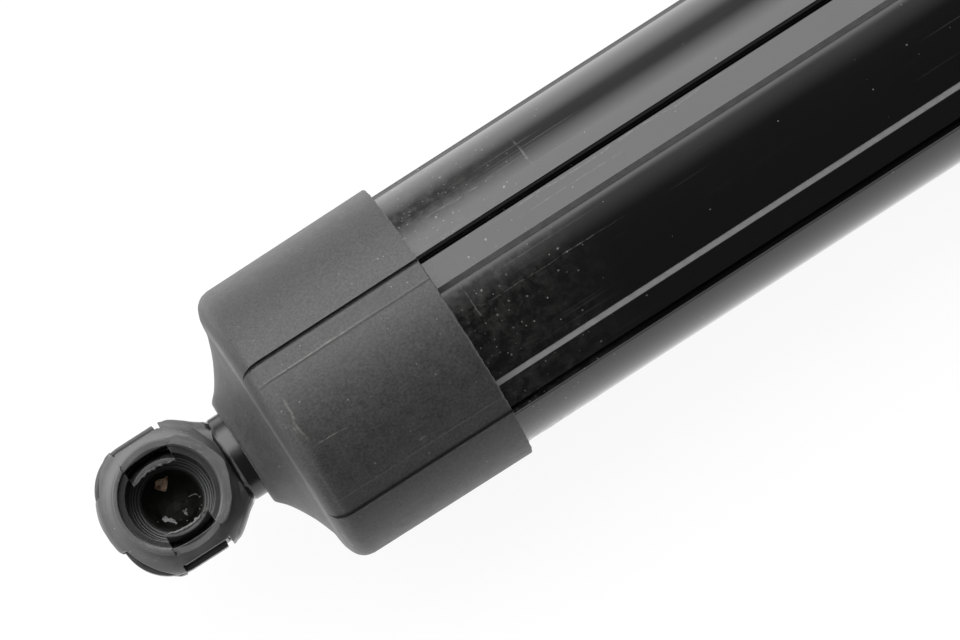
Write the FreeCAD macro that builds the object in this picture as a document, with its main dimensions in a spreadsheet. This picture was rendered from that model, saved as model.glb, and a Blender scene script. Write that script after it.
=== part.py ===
import FreeCAD, Part
import math
import os
import re

import Sketcher
from FreeCAD import Placement, Rotation, Vector

# Powered tailgate strut: a motor, a planetary gear stage and a spindle in telescoping tubes, with a
# ball socket with snap arms at each end. Millimetres. X runs along the strut from the upper ball's
# centre, and +Z is the way both sockets open. It is drawn retracted.

DRIVING = {
    # overall
    "stroke": 200,
    "press_gap": 0.04,
    "running_gap": 0.06,
    "slide_gap": 0.15,
    "seal_gap": 0.3,
    "overshoot": 2,
    # ball socket
    "ball_diameter": 10,
    "ball_gap": 0.05,
    "socket_radius": 9,
    "socket_face": 6.2,
    "socket_floor": 2.6,
    "socket_shoulder": 3.2,
    "rim_radius": 6.75,
    "back_radius": 10.3,
    "back_offset": 2.4,
    "mouth_radius": 6,
    "mouth_depth": 1.5,
    "seat_step": 0.36,
    "lip_radius": 4.1,
    "lip_land": 0.35,
    "lip_relief": 1,
    "grease_pocket": 2.6,
    "arm_width": 5.6,
    "arm_slot": 0.45,
    "arm_slot_inner": 3.4,
    "arm_depth": 8.6,
    "arm_flat": 7.6,
    "rim_point": 7.7,
    "rim_flank": 6.2,
    "rim_corner": 4.5,
    "rim_plate": 1.3,
    "neck_radius": 5.45,
    "flare_start": 4.9,
    "flare_end": 8,
    "flare_width": 8.1,
    "flare_top": 3.8,
    "flare_bottom": 5.4,
    "stem_depth": 6,
    # retaining clip
    "clip_thickness": 0.7,
    "clip_height": 3.2,
    "clip_leg": 2.8,
    "clip_land": 3.4,
    "keeper_reach": 8.65,
    "keeper_width": 6.3,
    "keeper_height": 3.4,
    # stud that joins a socket to its end plug
    "stud_radius": 4,
    "stud_head_radius": 4.7,
    "stud_head": 2,
    "stud_start": 8.6,
    "stud_length": 22,
    # cover tube section: two lobes, two lands, each land with tangent flats out to a step
    "lobe_radius": 17,
    "land_radius": 15.35,
    "land_angle": 25.2,
    "step_angle": 39.8,
    "tube_wall": 1.2,
    "tube_roll": 16,
    "bead_angle": 4.1,
    "bead_height": 0.18,
    "groove_angle": 2,
    "groove_depth": 0.25,
    "tube_overlap": 27,
    # rubber boots
    "boot_start": 10.1,
    "boot_lip": 0.5,
    "boot_front": 14.1,
    "boot_wall": 1.25,
    "boot_gap": 0.05,
    "boot_length": 28.3,
    "boot_shoulder": 2.4,
    "boot_face": 0.9,
    "boot_land_radius": 16.3,
    "boot_land_angle": 26.9,
    "boot_twist": -3,
    # end plugs
    "upper_flange": 1.6,
    "upper_plug_body": 14,
    "spigot_length": 9,
    "lower_flange": 10.6,
    "lower_plug_body": 12,
    "board_carrier": 10,
    "board_carrier_wall": 1.5,
    # push tube, nut and spring
    "push_radius": 7,
    "push_wall": 1.3,
    "push_foot_room": 15,
    "nut_head": 12,
    "nut_end_room": 7,
    "nut_spigot": 8,
    "nut_radius": 7.7,
    "nut_ribs": 6,
    "nut_rib": 1.6,
    "nut_rib_height": 0.5,
    "seat_thickness": 2,
    "spring_radius": 9.75,
    "spring_wire": 1.35,
    "spring_turns": 16,
    # guides of the sliding tube
    "drive_radius": 13.2,
    "drive_wall": 1.2,
    "shoe_head": 10,
    "shoe_spigot": 6,
    "shoe_wall": 0.5,
    "bush_length": 12,
    "wiper_thickness": 2,
    "end_ring_wall": 0.9,
    "end_ring_front": 3,
    "end_ring_skirt": 5,
    # spindle and its bearing
    "spindle_radius": 4.5,
    "spindle_end_room": 2,
    "guide_thickness": 5,
    "guide_chamfer": 0.4,
    "collar_radius": 6,
    "collar_length": 2.5,
    "housing_wall": 4,
    "housing_length": 15,
    "bearing_width": 6,
    "bearing_bore": 3.5,
    "bearing_outside": 9.5,
    "bearing_pitch": 6.5,
    "bearing_shoulder": 1,
    "bearing_shield": 0.5,
    "lock_thickness": 1,
    "lock_depth": 0.6,
    # planetary gear stage
    "gear_module": 0.5,
    "sun_teeth": 12,
    "planet_teeth": 15,
    "pressure_angle": 25,
    "tooth_tip": 0.8,
    "tooth_root": 1.1,
    "backlash": 0.07,
    "planet_count": 3,
    "ring_length": 14,
    "carrier_radius": 9,
    "carrier_thickness": 3,
    "carrier_hub": 4.6,
    "pin_radius": 1,
    "pin_depth": 2.4,
    "planet_width": 7,
    "gear_side_gap": 0.5,
    "journal_radius": 3,
    "gear_plate": 2.5,
    # motor
    "decoupler": 3.5,
    "decoupler_hole": 6,
    "can_radius": 11.3,
    "can_wall": 0.9,
    "can_front": 2,
    "bell_thickness": 4,
    "bell_spigot": 3,
    "motor_bush_radius": 3,
    "shaft_radius": 1.25,
    "magnet_thickness": 1.9,
    "magnet_overhang": 2,
    "magnet_span": 140,
    "air_gap": 0.45,
    "core_length": 40,
    "core_slots": 5,
    "core_slot_width": 1.4,
    "core_slot_depth": 2.4,
    "coil_end": 3.5,
    "commutator_radius": 3.5,
    "commutator_length": 8,
    "commutator_room": 5.5,
    "brush_plate": 2,
    "brush_plate_hole": 6.4,
    "brush_width": 3,
    "sensor_magnet_radius": 4,
    "sensor_magnet": 2,
    "board_thickness": 1.6,
    "board_notch": 3,
    "board_room": 4.9,
    # cable inlet
    "grommet_radius": 4,
    "grommet_bore": 2.6,
    "grommet_depth": 7.6,
    "grommet_tip": 3.4,
    "grommet_collar": 5.4,
    "grommet_reach": 6,
    "cable_channel": 2.6,
    "cable_channel_height": 9,
}

DERIVED = {
    "ball_seat": "ball_diameter / 2 + ball_gap",
    "socket_bottom": "ball_seat + socket_floor",
    "clip_inside": "arm_flat + press_gap",
    "rim_foot": "socket_face - rim_plate - socket_shoulder",
    "lip_height": "sqrt(ball_seat ^ 2 - lip_radius ^ 2)",
    "plug_face": "boot_front + boot_wall + boot_gap",
    "tube_start": "plug_face + upper_flange",
    "plug_end": "tube_start + upper_plug_body",
    "stem_end": "plug_face + stem_depth",
    "push_bore": "push_radius - push_wall",
    "spindle_start": "plug_end + spigot_length + push_foot_room",
    "push_end": "spindle_start + guide_thickness + stroke + spindle_end_room + nut_spigot",
    "spring_seat_face": "plug_end + seat_thickness",
    "cup_face": "push_end + nut_head + nut_end_room",
    "spring_room": "cup_face - spring_seat_face",
    "housing_start": "cup_face + seat_thickness",
    "bearing_start": "housing_start + housing_wall",
    "housing_end": "housing_start + housing_length",
    "drive_bore": "drive_radius - drive_wall",
    "shoe_start": "spring_seat_face + 3 * seal_gap",
    "drive_start": "shoe_start + shoe_head",
    "bush_start": "drive_start + stroke + tube_overlap",
    "wiper_start": "bush_start + bush_length",
    "tube_end": "wiper_start + wiper_thickness",
    "lower_plug_flange_end": "plug_face + lower_flange",
    "lower_body_end": "lower_plug_flange_end + lower_plug_body",
    "grommet_place": "plug_face + lower_flange / 2",
    "ring_teeth": "sun_teeth + 2 * planet_teeth",
    "planet_orbit": "gear_module * (sun_teeth + planet_teeth) / 2",
    "gears_start": "housing_end",
    "planet_start": "gears_start + gear_side_gap + carrier_thickness + gear_side_gap",
    "gear_plate_start": "gears_start + ring_length",
    "decoupler_start": "gear_plate_start + gear_plate",
    "can_start": "decoupler_start + decoupler",
    "can_bore": "can_radius - can_wall",
    "core_radius": "can_bore - magnet_thickness - air_gap",
    "magnet_start": "can_start + can_front + coil_end",
    "magnet_length": "core_length + 2 * magnet_overhang",
    "core_start": "magnet_start + magnet_overhang",
    "commutator_start": "core_start + core_length + coil_end + gear_side_gap",
    "bell_start": "commutator_start + commutator_length + commutator_room + bell_spigot",
    "can_length": "bell_start - can_start",
    "rear_decoupler_start": "bell_start + bell_thickness",
    "shaft_start": "planet_start",
    "board_start": "rear_decoupler_start + decoupler + board_room",
    "eye_distance": "board_start + board_thickness + board_carrier + lower_body_end",
    "drive_end": "eye_distance - lower_plug_flange_end",
    "shaft_end": "board_start - 2 * gear_side_gap",
}

doc = FreeCAD.newDocument("tailgate_strut")
sheet = doc.addObject("Spreadsheet::Sheet", "Sizes")


def fill_sheet():
    row = 0
    for alias, content in {**DRIVING, **DERIVED}.items():
        row += 1
        sheet.set(f"A{row}", alias)
        sheet.set(f"B{row}", f"={content}" if alias in DERIVED else str(content))
        sheet.setAlias(f"B{row}", alias)
    doc.recompute()


def value(expression):
    # the number that an expression of sizes comes to
    return float(sheet.evalExpression(str(expression)))


def bind(item, target, expression):
    # tie a property or a constraint to the sheet
    named = re.sub(
        r"[a-z][a-z_]+",
        lambda word: f"Sizes.{word[0]}" if word[0] in DRIVING or word[0] in DERIVED else word[0],
        str(expression),
    )
    item.setExpression(target, named)


def place(item, along="0", roll=None):
    # move a piece along the strut, and roll it about the strut's axis
    if roll is not None:
        item.Placement = Placement(Vector(0, 0, 0), Rotation(Vector(1, 0, 0), value(roll)))
        bind(item, "Placement.Rotation.Angle", roll)
    bind(item, "Placement.Base.x", along)
    return item


def at_lower_end(item):
    # the lower end's pieces face the other way, with their socket opening the same way
    item.Placement = Placement(Vector(0, 0, 0), Rotation(Vector(0, 0, 1), 180))
    bind(item, "Placement.Base.x", "eye_distance")
    return item


def new_body(name):
    body = doc.addObject("PartDesign::Body", name)
    body.Label = name
    return body


def new_sketch(body, role, offset=None):
    plane = next(item for item in body.Origin.OriginFeatures if item.Role == role)
    sketch = body.newObject("Sketcher::SketchObject", "Sketch")
    sketch.AttachmentSupport = [(plane, "")]
    sketch.MapMode = "FlatFace"
    if offset is not None:
        bind(sketch, "AttachmentOffset.Base.z", offset)
    return sketch


def pin_point(sketch, edge, point, kind, expression):
    number = sketch.addConstraint(Sketcher.Constraint(kind, edge, point, value(expression)))
    if re.search("[a-z]", expression):
        name = f"{kind}_{edge}_{point}"
        sketch.renameConstraint(number, name)
        bind(sketch, f"Constraints.{name}", expression)


def outline(sketch, path):
    # A closed outline. Each step is a corner (x, y) reached by a straight line, or
    # (x, y, centre x, centre y, "left" or "right") reached by an arc that turns that way.
    # The first corner is reached by a straight line.
    corners = [Vector(value(step[0]), value(step[1]), 0) for step in path]
    edges = []
    for number, step in enumerate(path):
        begin = corners[number - 1]
        end = corners[number]
        if len(step) == 2:
            edges.append((sketch.addGeometry(Part.LineSegment(begin, end)), 1, 2))
            continue
        centre = Vector(value(step[2]), value(step[3]), 0)
        angles = [math.atan2(*(corner - centre)[1::-1]) for corner in (begin, end)]
        if step[4] == "right":
            angles.reverse()
        if angles[1] <= angles[0]:
            angles[1] += 2 * math.pi
        circle = Part.Circle(centre, Vector(0, 0, 1), (begin - centre).Length)
        edge = sketch.addGeometry(Part.ArcOfCircle(circle, *angles))
        edges.append((edge, 1, 2) if step[4] == "left" else (edge, 2, 1))
    for number, step in enumerate(path):
        edge, first, last = edges[number]
        before, _, before_last = edges[number - 1]
        sketch.addConstraint(Sketcher.Constraint("Coincident", before, before_last, edge, first))
        if len(step) == 2:
            pin_point(sketch, edge, last, "DistanceX", step[0])
            pin_point(sketch, edge, last, "DistanceY", step[1])
            continue
        pin_point(sketch, edge, 3, "DistanceX", step[2])
        pin_point(sketch, edge, 3, "DistanceY", step[3])
        spoke = corners[number] - Vector(value(step[2]), value(step[3]), 0)
        if abs(spoke.y) >= abs(spoke.x):
            pin_point(sketch, edge, last, "DistanceX", step[0])
        else:
            pin_point(sketch, edge, last, "DistanceY", step[1])


def chords(across, up, radius, begin, end, count):
    # corners of a round stretch that is turned as a few short cones
    corners = []
    for number in range(count + 1):
        angle = f"({begin} + ({end} - ({begin})) * {number} / {count})"
        corners.append((f"{across} + {radius} * cos({angle})", f"{up} + {radius} * sin({angle})"))
    return corners


def circle(sketch, radius, across="0", up="0"):
    centre = Vector(value(across), value(up), 0)
    edge = sketch.addGeometry(Part.Circle(centre, Vector(0, 0, 1), value(radius)))
    pin_point(sketch, edge, 3, "DistanceX", across)
    pin_point(sketch, edge, 3, "DistanceY", up)
    number = sketch.addConstraint(Sketcher.Constraint("Radius", edge, value(radius)))
    sketch.renameConstraint(number, f"Radius_{edge}")
    bind(sketch, f"Constraints.Radius_{edge}", radius)


def block(left, right, low, high):
    return [(left, low), (right, low), (right, high), (left, high)]


def feature(body, kind, sketch, **settings):
    # a pad, pocket, revolution or groove of a sketch, with sizes given as expressions
    item = body.newObject(f"PartDesign::{kind}", kind)
    item.Profile = sketch
    for name, setting in settings.items():
        if isinstance(setting, str) and name in ("Length", "Angle"):
            bind(item, name, setting)
        else:
            setattr(item, name, setting)
    sketch.Visibility = False
    return item


def spin(body, kind, sketch, axis="H_Axis", **settings):
    item = feature(body, kind, sketch, **settings)
    item.ReferenceAxis = (sketch, [axis])
    return item


def pattern_about_x(body, item, count):
    # repeat a feature evenly about the strut's axis
    pattern = body.newObject("PartDesign::PolarPattern", "PolarPattern")
    pattern.Originals = [item]
    pattern.Axis = (next(x for x in body.Origin.OriginFeatures if x.Role == "X_Axis"), [""])
    bind(pattern, "Occurrences", count)
    pattern.Angle = 360
    body.Tip = pattern
    return pattern


def turned(name, start, path):
    # a lathe piece: (along, radius) corners spun about the strut's axis
    body = new_body(name)
    sketch = new_sketch(body, "XY_Plane")
    outline(sketch, path)
    spin(body, "Revolution", sketch)
    return place(body, start)


def ring(name, start, length, outside, inside):
    return turned(name, start, block("0", length, inside, outside))


def hole_along_x(body, start, length, radius, across="0", up="0"):
    sketch = new_sketch(body, "YZ_Plane", f"{start} + {length}")
    circle(sketch, radius, across, up)
    return feature(body, "Pocket", sketch, Length=length)


def section(grow, detailed=False, land_radius="land_radius", land_angle="land_angle"):
    # The cover tube's outline, grown outwards by a wall or gap, with a land centred on +y.
    # A land is an arc with a tangent flat at each end that runs out to a step, and the steps rise
    # to the lobes. Detail is the bead at each end of a land and the groove along each lobe.
    land = f"({land_radius} + {grow})"
    lobe = f"(lobe_radius + {grow})"
    rise = f"(step_angle - {land_angle})"
    foot = f"(({land} - ({grow}) * sin({rise})) / cos({rise}))"
    top = f"sqrt({lobe} ^ 2 - ({grow}) ^ 2)"

    def on_step(reach):
        return (
            f"{reach} * sin(step_angle) - ({grow}) * cos(step_angle)",
            f"{reach} * cos(step_angle) + ({grow}) * sin(step_angle)",
        )

    def polar(radius, angle):
        return f"{radius} * sin({angle})", f"{radius} * cos({angle})"

    land_end = [polar(land, land_angle)]
    lobe_side = [on_step(foot), on_step(top)]
    if detailed:
        crest = polar(f"({land} + bead_height)", "(land_angle - bead_angle / 2)")
        land_end = [polar(land, "(land_angle - bead_angle)"), crest] + land_end
        groove = [polar(lobe, "(90 - groove_angle)"), (f"{lobe} - groove_depth", "0")]
        lobe_side = lobe_side + groove
    down = land_end + lobe_side
    mirrored = [(x, f"-({y})") for x, y in reversed(down) if y != "0"]
    half = down + mirrored
    whole = half + [(f"-({x})", f"-({y})" if y != "0" else "0") for x, y in half]
    arcs = {0, len(half)}
    lobe_arc = len(land_end) + 2
    arcs |= {lobe_arc, lobe_arc + len(half)}
    if detailed:
        arcs |= {lobe_arc + 3, lobe_arc + 3 + len(half)}
    path = [
        (x, y, "0", "0", "right") if number in arcs else (x, y)
        for number, (x, y) in enumerate(whole)
    ]
    return path[1:] + path[:1]


def ball_socket(name):
    body = new_body(name)
    # body of the socket, spun about the ball's vertical axis
    sketch = new_sketch(body, "XZ_Plane")
    shoulder = chords("socket_radius - socket_shoulder", "-socket_bottom + socket_shoulder",
                      "socket_shoulder", "-90", "0", 2)
    shoulder_run = "(rim_radius - socket_radius + socket_shoulder)"
    shoulder_turn = f"(acos({shoulder_run} / socket_shoulder) / (1 deg))"
    brow = chords("socket_radius - socket_shoulder", "rim_foot", "socket_shoulder",
                  "0", shoulder_turn, 3)
    outline(sketch, [("0", "-socket_bottom")] + shoulder + brow + [
        ("rim_radius", "socket_face"),
        ("0", "socket_face"),
    ])
    spin(body, "Revolution", sketch, "V_Axis")
    # the side away from the neck is flatter
    sketch = new_sketch(body, "XY_Plane", "socket_face")
    outline(sketch, [
        ("back_offset", "back_radius"),
        ("back_offset", "-back_radius", "back_offset", "0", "left"),
        ("back_offset", "-(back_radius + overshoot)"),
        ("-(back_radius + overshoot)", "-(back_radius + overshoot)"),
        ("-(back_radius + overshoot)", "back_radius + overshoot"),
        ("back_offset", "back_radius + overshoot"),
    ])
    feature(body, "Pocket", sketch, Length="socket_face + socket_bottom")
    # keeper on that side, above and below the clip
    sketch = new_sketch(body, "XY_Plane", "-keeper_height")
    outline(sketch, block("-keeper_reach", "0", "-keeper_width / 2", "keeper_width / 2"))
    feature(body, "Pad", sketch, Length="2 * keeper_height")
    # neck and stem, and the flare where the neck leaves the socket
    sketch = new_sketch(body, "XY_Plane")
    outline(sketch, block("0", "stem_end", "0", "neck_radius"))
    spin(body, "Revolution", sketch)
    sketch = new_sketch(body, "XY_Plane", "-flare_bottom")
    outline(sketch, [
        ("0", "-flare_width"),
        ("flare_start", "-flare_width"),
        ("flare_end", "-neck_radius"),
        ("flare_end", "neck_radius"),
        ("flare_start", "flare_width"),
        ("0", "flare_width"),
    ])
    feature(body, "Pad", sketch, Length="flare_bottom + flare_top")
    # the rim's flat face runs out to a point towards the neck
    sketch = new_sketch(body, "XY_Plane", "socket_face - rim_plate")
    outline(sketch, [
        ("0", "-rim_flank"),
        ("rim_corner", "-rim_flank"),
        ("rim_point", "0"),
        ("rim_corner", "rim_flank"),
        ("0", "rim_flank"),
    ])
    feature(body, "Pad", sketch, Length="rim_plate")
    # flats for the clip on the outsides of the two snap arms
    for side in ("-", ""):
        sketch = new_sketch(body, "XY_Plane", "socket_face")
        outline(sketch, block("-clip_land", "clip_land", f"{side}arm_flat",
                              f"{side}(socket_radius + overshoot)"))
        feature(body, "Pocket", sketch, Length="socket_face + socket_bottom")
    # the seat: mouth, lead-in to the retaining lips, and stepped rings that hold the ball
    sketch = new_sketch(body, "XZ_Plane")
    outline(sketch, seat_path(lips=True))
    spin(body, "Groove", sketch, "V_Axis")
    for turn in (0, 180):
        sketch = new_sketch(body, "XZ_Plane")
        sketch.AttachmentOffset = Placement(Vector(0, 0, 0), Rotation(Vector(0, 1, 0), turn))
        outline(sketch, seat_path(lips=False))
        cut = spin(body, "Groove", sketch, "V_Axis", Midplane=True)
        bind(cut, "Angle", "180 deg - 2 * asin(arm_width / 2 / mouth_radius)")
    # slots that free the snap arms
    for side in ("", "-"):
        sketch = new_sketch(body, "XY_Plane", "socket_face")
        outline(sketch, block(f"{side}arm_width / 2", f"{side}(arm_width / 2 + arm_slot)",
                              "-(socket_radius + overshoot)", "-arm_slot_inner"))
        feature(body, "Pocket", sketch, Length="arm_depth")
        sketch = new_sketch(body, "XY_Plane", "socket_face")
        outline(sketch, block(f"{side}arm_width / 2", f"{side}(arm_width / 2 + arm_slot)",
                              "arm_slot_inner", "socket_radius + overshoot"))
        feature(body, "Pocket", sketch, Length="arm_depth")
    # groove for the clip round the side away from the neck
    sketch = new_sketch(body, "XZ_Plane")
    sketch.AttachmentOffset = Placement(Vector(0, 0, 0), Rotation(Vector(0, 1, 0), 180))
    outline(sketch, block("arm_flat", "back_radius + overshoot",
                          "-clip_height / 2 - press_gap", "clip_height / 2 + press_gap"))
    cut = spin(body, "Groove", sketch, "V_Axis", Midplane=True)
    bind(cut, "Angle", "180 deg")
    # moulded-in seat of the stud's head and shank
    sketch = new_sketch(body, "XY_Plane")
    outline(sketch, stud_path("press_gap"))
    spin(body, "Groove", sketch)
    return body


def seat_path(lips):
    # half section of the ball's seat, (radius, height): stepped rings above a flat grease pocket
    steps = []
    inner = "ball_seat"
    for count in range(3):
        outer = inner
        inner = f"(ball_seat - {count + 1} * seat_step)"
        depth = f"-sqrt(ball_seat ^ 2 - {inner} ^ 2)"
        steps += [(outer, depth), (inner, depth)]
    bottom = [("grease_pocket", "-ball_seat"), ("0", "-ball_seat")]
    mouth = "socket_face - mouth_depth"
    top = [("mouth_radius", "socket_face + overshoot"), ("mouth_radius", mouth)]
    if lips:
        top += [
            ("lip_radius", "lip_height + lip_land"),
            ("lip_radius", "lip_height"),
            ("ball_seat", "lip_relief"),
        ]
    else:
        top += [("ball_seat", "lip_relief")]
    return [("0", "socket_face + overshoot")] + top + steps + bottom


def stud_path(grow="0"):
    return [
        (f"stud_start - {grow}", "0"),
        ("stud_start + stud_length", "0"),
        ("stud_start + stud_length", f"stud_radius + {grow}"),
        ("stud_start + stud_head", f"stud_radius + {grow}"),
        ("stud_start + stud_head", f"stud_head_radius + {grow}"),
        (f"stud_start - {grow}", f"stud_head_radius + {grow}"),
    ]


def stud(name):
    return turned(name, "0", stud_path())


def retaining_clip(name):
    # a strap that lies on the arms' flats and in the groove round the far side, open to the neck
    body = new_body(name)
    sketch = new_sketch(body, "XY_Plane", "-clip_height / 2")
    outer = "clip_inside + clip_thickness"
    outline(sketch, [
        ("clip_leg", "clip_inside"),
        ("clip_leg", outer),
        ("0", outer),
        ("0", f"-({outer})", "0", "0", "left"),
        ("clip_leg", f"-({outer})"),
        ("clip_leg", "-(clip_inside)"),
        ("0", "-(clip_inside)"),
        ("0", "clip_inside", "0", "0", "right"),
    ])
    feature(body, "Pad", sketch, Length="clip_height")
    return body


def boot(name, radius, profiled):
    # trumpet-shaped rubber boot: a lip on the socket's neck, a flare, a shoulder and a collar
    body = new_body(name)
    outer = f"({radius} + boot_gap + boot_wall)"
    lip = "(neck_radius + boot_gap + boot_wall)"
    lip_end = "(boot_start + boot_lip)"
    flat = f"({outer} - boot_shoulder - boot_face)"
    run = f"(boot_front - {lip_end})"
    flare = f"(({run} ^ 2 + ({flat} - {lip}) ^ 2) / (2 * {run}))"
    middle = f"(boot_front - {flare})"
    sweep = f"(asin(({flat} - {lip}) / {flare}) / (1 deg))"
    end = "boot_start + boot_length"
    sketch = new_sketch(body, "XY_Plane")
    outline(sketch, [("boot_start", "0"), ("boot_start", lip)]
            + chords(middle, flat, flare, f"-{sweep}", "0", 3)
            + chords("boot_front + boot_shoulder", f"{outer} - boot_shoulder",
                     "boot_shoulder", "180", "90", 2)
            + [(end, outer), (end, "0")])
    spin(body, "Revolution", sketch)
    if profiled:
        # the collar follows the tube's lands and steps
        sketch = new_sketch(body, "YZ_Plane", end)
        sketch.AttachmentOffset = Placement(Vector(0, 0, 0), Rotation(Vector(0, 0, 1), 1))
        bind(sketch, "AttachmentOffset.Rotation.Angle", "boot_twist")
        outline(sketch, section("(boot_gap + boot_wall)", land_radius="boot_land_radius",
                                land_angle="boot_land_angle"))
        circle(sketch, f"{outer} + overshoot")
        feature(body, "Pocket", sketch, Length="boot_length")
    sketch = new_sketch(body, "YZ_Plane", end)
    if profiled:
        outline(sketch, section("boot_gap", detailed=True))
    else:
        circle(sketch, f"{radius} + boot_gap")
    feature(body, "Pocket", sketch, Length=f"{end} - plug_face")
    # hollow behind the flare, one wall in from the outside
    neck = "(neck_radius + boot_gap)"
    inside = f"({flare} + boot_wall)"
    drop = f"({flat} - {neck})"
    sketch = new_sketch(body, "XY_Plane")
    outline(sketch, [("boot_start - boot_lip", "0"), ("boot_start - boot_lip", neck)]
            + chords(middle, flat, inside, f"-(asin({drop} / {inside}) / (1 deg))", "0", 2)
            + [("plug_face", flat), ("plug_face", "0")])
    spin(body, "Groove", sketch)
    return body


def plug_bore(body, end):
    # recess for the socket's stem, and the tapped hole for its stud
    sketch = new_sketch(body, "XY_Plane")
    outline(sketch, [
        ("plug_face - boot_wall", "0"),
        ("plug_face - boot_wall", "neck_radius + press_gap"),
        ("stem_end", "neck_radius + press_gap"),
        ("stem_end", "stud_radius + press_gap"),
        (end, "stud_radius + press_gap"),
        (end, "0"),
    ])
    spin(body, "Groove", sketch)


def upper_end_plug():
    body = new_body("upper_end_plug")
    sketch = new_sketch(body, "YZ_Plane", "plug_face")
    outline(sketch, section("0"))
    feature(body, "Pad", sketch, Length="upper_flange")
    sketch = new_sketch(body, "YZ_Plane", "tube_start")
    outline(sketch, section("-(tube_wall + press_gap)"))
    feature(body, "Pad", sketch, Length="upper_plug_body")
    sketch = new_sketch(body, "YZ_Plane", "plug_end")
    circle(sketch, "push_bore - press_gap")
    feature(body, "Pad", sketch, Length="spigot_length")
    plug_bore(body, "stud_start + stud_length + press_gap")
    return place(body, roll="tube_roll")


def lower_end_plug():
    body = new_body("lower_end_plug")
    sketch = new_sketch(body, "XY_Plane")
    outline(sketch, [
        ("plug_face", "0"),
        ("plug_face", "drive_radius"),
        ("lower_plug_flange_end", "drive_radius"),
        ("lower_plug_flange_end", "drive_bore - press_gap"),
        ("lower_body_end + board_carrier", "drive_bore - press_gap"),
        ("lower_body_end + board_carrier", "drive_bore - press_gap - board_carrier_wall"),
        ("lower_body_end", "drive_bore - press_gap - board_carrier_wall"),
        ("lower_body_end", "0"),
    ])
    spin(body, "Revolution", sketch)
    plug_bore(body, "stud_start + stud_length + press_gap")
    # way in for the cable: across the flange, then along the body to the board
    sketch = new_sketch(body, "XZ_Plane", "drive_radius + overshoot")
    circle(sketch, "grommet_radius + press_gap", "grommet_place", "0")
    feature(body, "Pocket", sketch, Length="drive_radius + overshoot - grommet_depth")
    hole_along_x(body, "grommet_place", "lower_body_end - grommet_place + boot_wall",
                 "cable_channel", "-cable_channel_height")
    return at_lower_end(body)


def lower_boot():
    body = boot("lower_boot", "drive_radius", profiled=False)
    sketch = new_sketch(body, "XZ_Plane", "drive_radius + boot_wall + overshoot")
    circle(sketch, "grommet_radius + press_gap", "grommet_place", "0")
    feature(body, "Pocket", sketch, Length="drive_radius")
    return at_lower_end(body)


def cable_grommet():
    # rubber inlet that stands out of the boot's side, with a collar against the boot
    body = new_body("cable_grommet")
    sketch = new_sketch(body, "XY_Plane")
    boot_side = "(drive_radius + boot_gap + boot_wall)"
    outline(sketch, [
        ("grommet_place + grommet_bore", "-grommet_depth"),
        ("grommet_place + grommet_bore", f"-({boot_side} + grommet_reach)"),
        ("grommet_place + grommet_tip", f"-({boot_side} + grommet_reach)"),
        ("grommet_place + grommet_radius", f"-({boot_side} + boot_wall)"),
        ("grommet_place + grommet_collar", f"-({boot_side} + boot_wall)"),
        ("grommet_place + grommet_collar", f"-({boot_side} + boot_gap)"),
        ("grommet_place + grommet_radius", f"-({boot_side} + boot_gap)"),
        ("grommet_place + grommet_radius", "-grommet_depth"),
    ])
    middle = Vector(value("grommet_place"), 0, 0)
    end = Vector(value("grommet_place"), value("-grommet_depth"), 0)
    axis = sketch.addGeometry(Part.LineSegment(middle, end), True)
    pin_point(sketch, axis, 1, "DistanceX", "grommet_place")
    pin_point(sketch, axis, 1, "DistanceY", "0")
    sketch.addConstraint(Sketcher.Constraint("Vertical", axis))
    pin_point(sketch, axis, 2, "DistanceY", "-grommet_depth")
    spin(body, "Revolution", sketch, "Axis0")
    return at_lower_end(body)


def cover_tube():
    body = new_body("cover_tube")
    sketch = new_sketch(body, "YZ_Plane")
    outline(sketch, section("0", detailed=True))
    outline(sketch, section("-tube_wall"))
    feature(body, "Pad", sketch, Length="tube_end - tube_start")
    return place(body, "tube_start", "tube_roll")


def in_cover(name, start, length, gap, bore):
    # a ring that fills the cover tube's inside section, keyed by its lands
    body = new_body(name)
    sketch = new_sketch(body, "YZ_Plane")
    outline(sketch, section(f"-(tube_wall + {gap})"))
    circle(sketch, bore)
    feature(body, "Pad", sketch, Length=length)
    return place(body, start, "tube_roll")


def keyed_guide_ring():
    body = in_cover("keyed_guide_ring", "shoe_start", "shoe_head", "slide_gap",
                    "drive_bore - press_gap - shoe_wall")
    sketch = new_sketch(body, "YZ_Plane", "shoe_head")
    circle(sketch, "drive_bore - press_gap")
    circle(sketch, "drive_bore - press_gap - shoe_wall")
    feature(body, "Pad", sketch, Length="shoe_spigot")
    return body


def end_ring():
    body = new_body("end_ring")
    sketch = new_sketch(body, "YZ_Plane", "-end_ring_skirt")
    outline(sketch, section("(boot_gap + end_ring_wall)"))
    circle(sketch, "drive_radius + seal_gap")
    feature(body, "Pad", sketch, Length="end_ring_skirt + end_ring_front")
    sketch = new_sketch(body, "YZ_Plane", "0")
    outline(sketch, section("boot_gap + bead_height"))
    feature(body, "Pocket", sketch, Length="end_ring_skirt")
    return place(body, "tube_end", "tube_roll")


def spindle_nut():
    # moulded nut: a spigot in the push tube and a ribbed head that guides inside the spring
    body = new_body("spindle_nut")
    sketch = new_sketch(body, "XY_Plane")
    bore = "spindle_radius + running_gap"
    outline(sketch, [
        ("-nut_spigot", bore),
        ("nut_head", bore),
        ("nut_head", "nut_radius - nut_rib_height"),
        ("0", "nut_radius - nut_rib_height"),
        ("0", "push_bore - press_gap"),
        ("-nut_spigot", "push_bore - press_gap"),
    ])
    spin(body, "Revolution", sketch)
    sketch = new_sketch(body, "YZ_Plane")
    outline(sketch, block("-nut_rib / 2", "nut_rib / 2", "push_bore", "nut_radius"))
    rib = feature(body, "Pad", sketch, Length="nut_head")
    pattern_about_x(body, rib, "nut_ribs")
    return place(body, "push_end")


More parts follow.
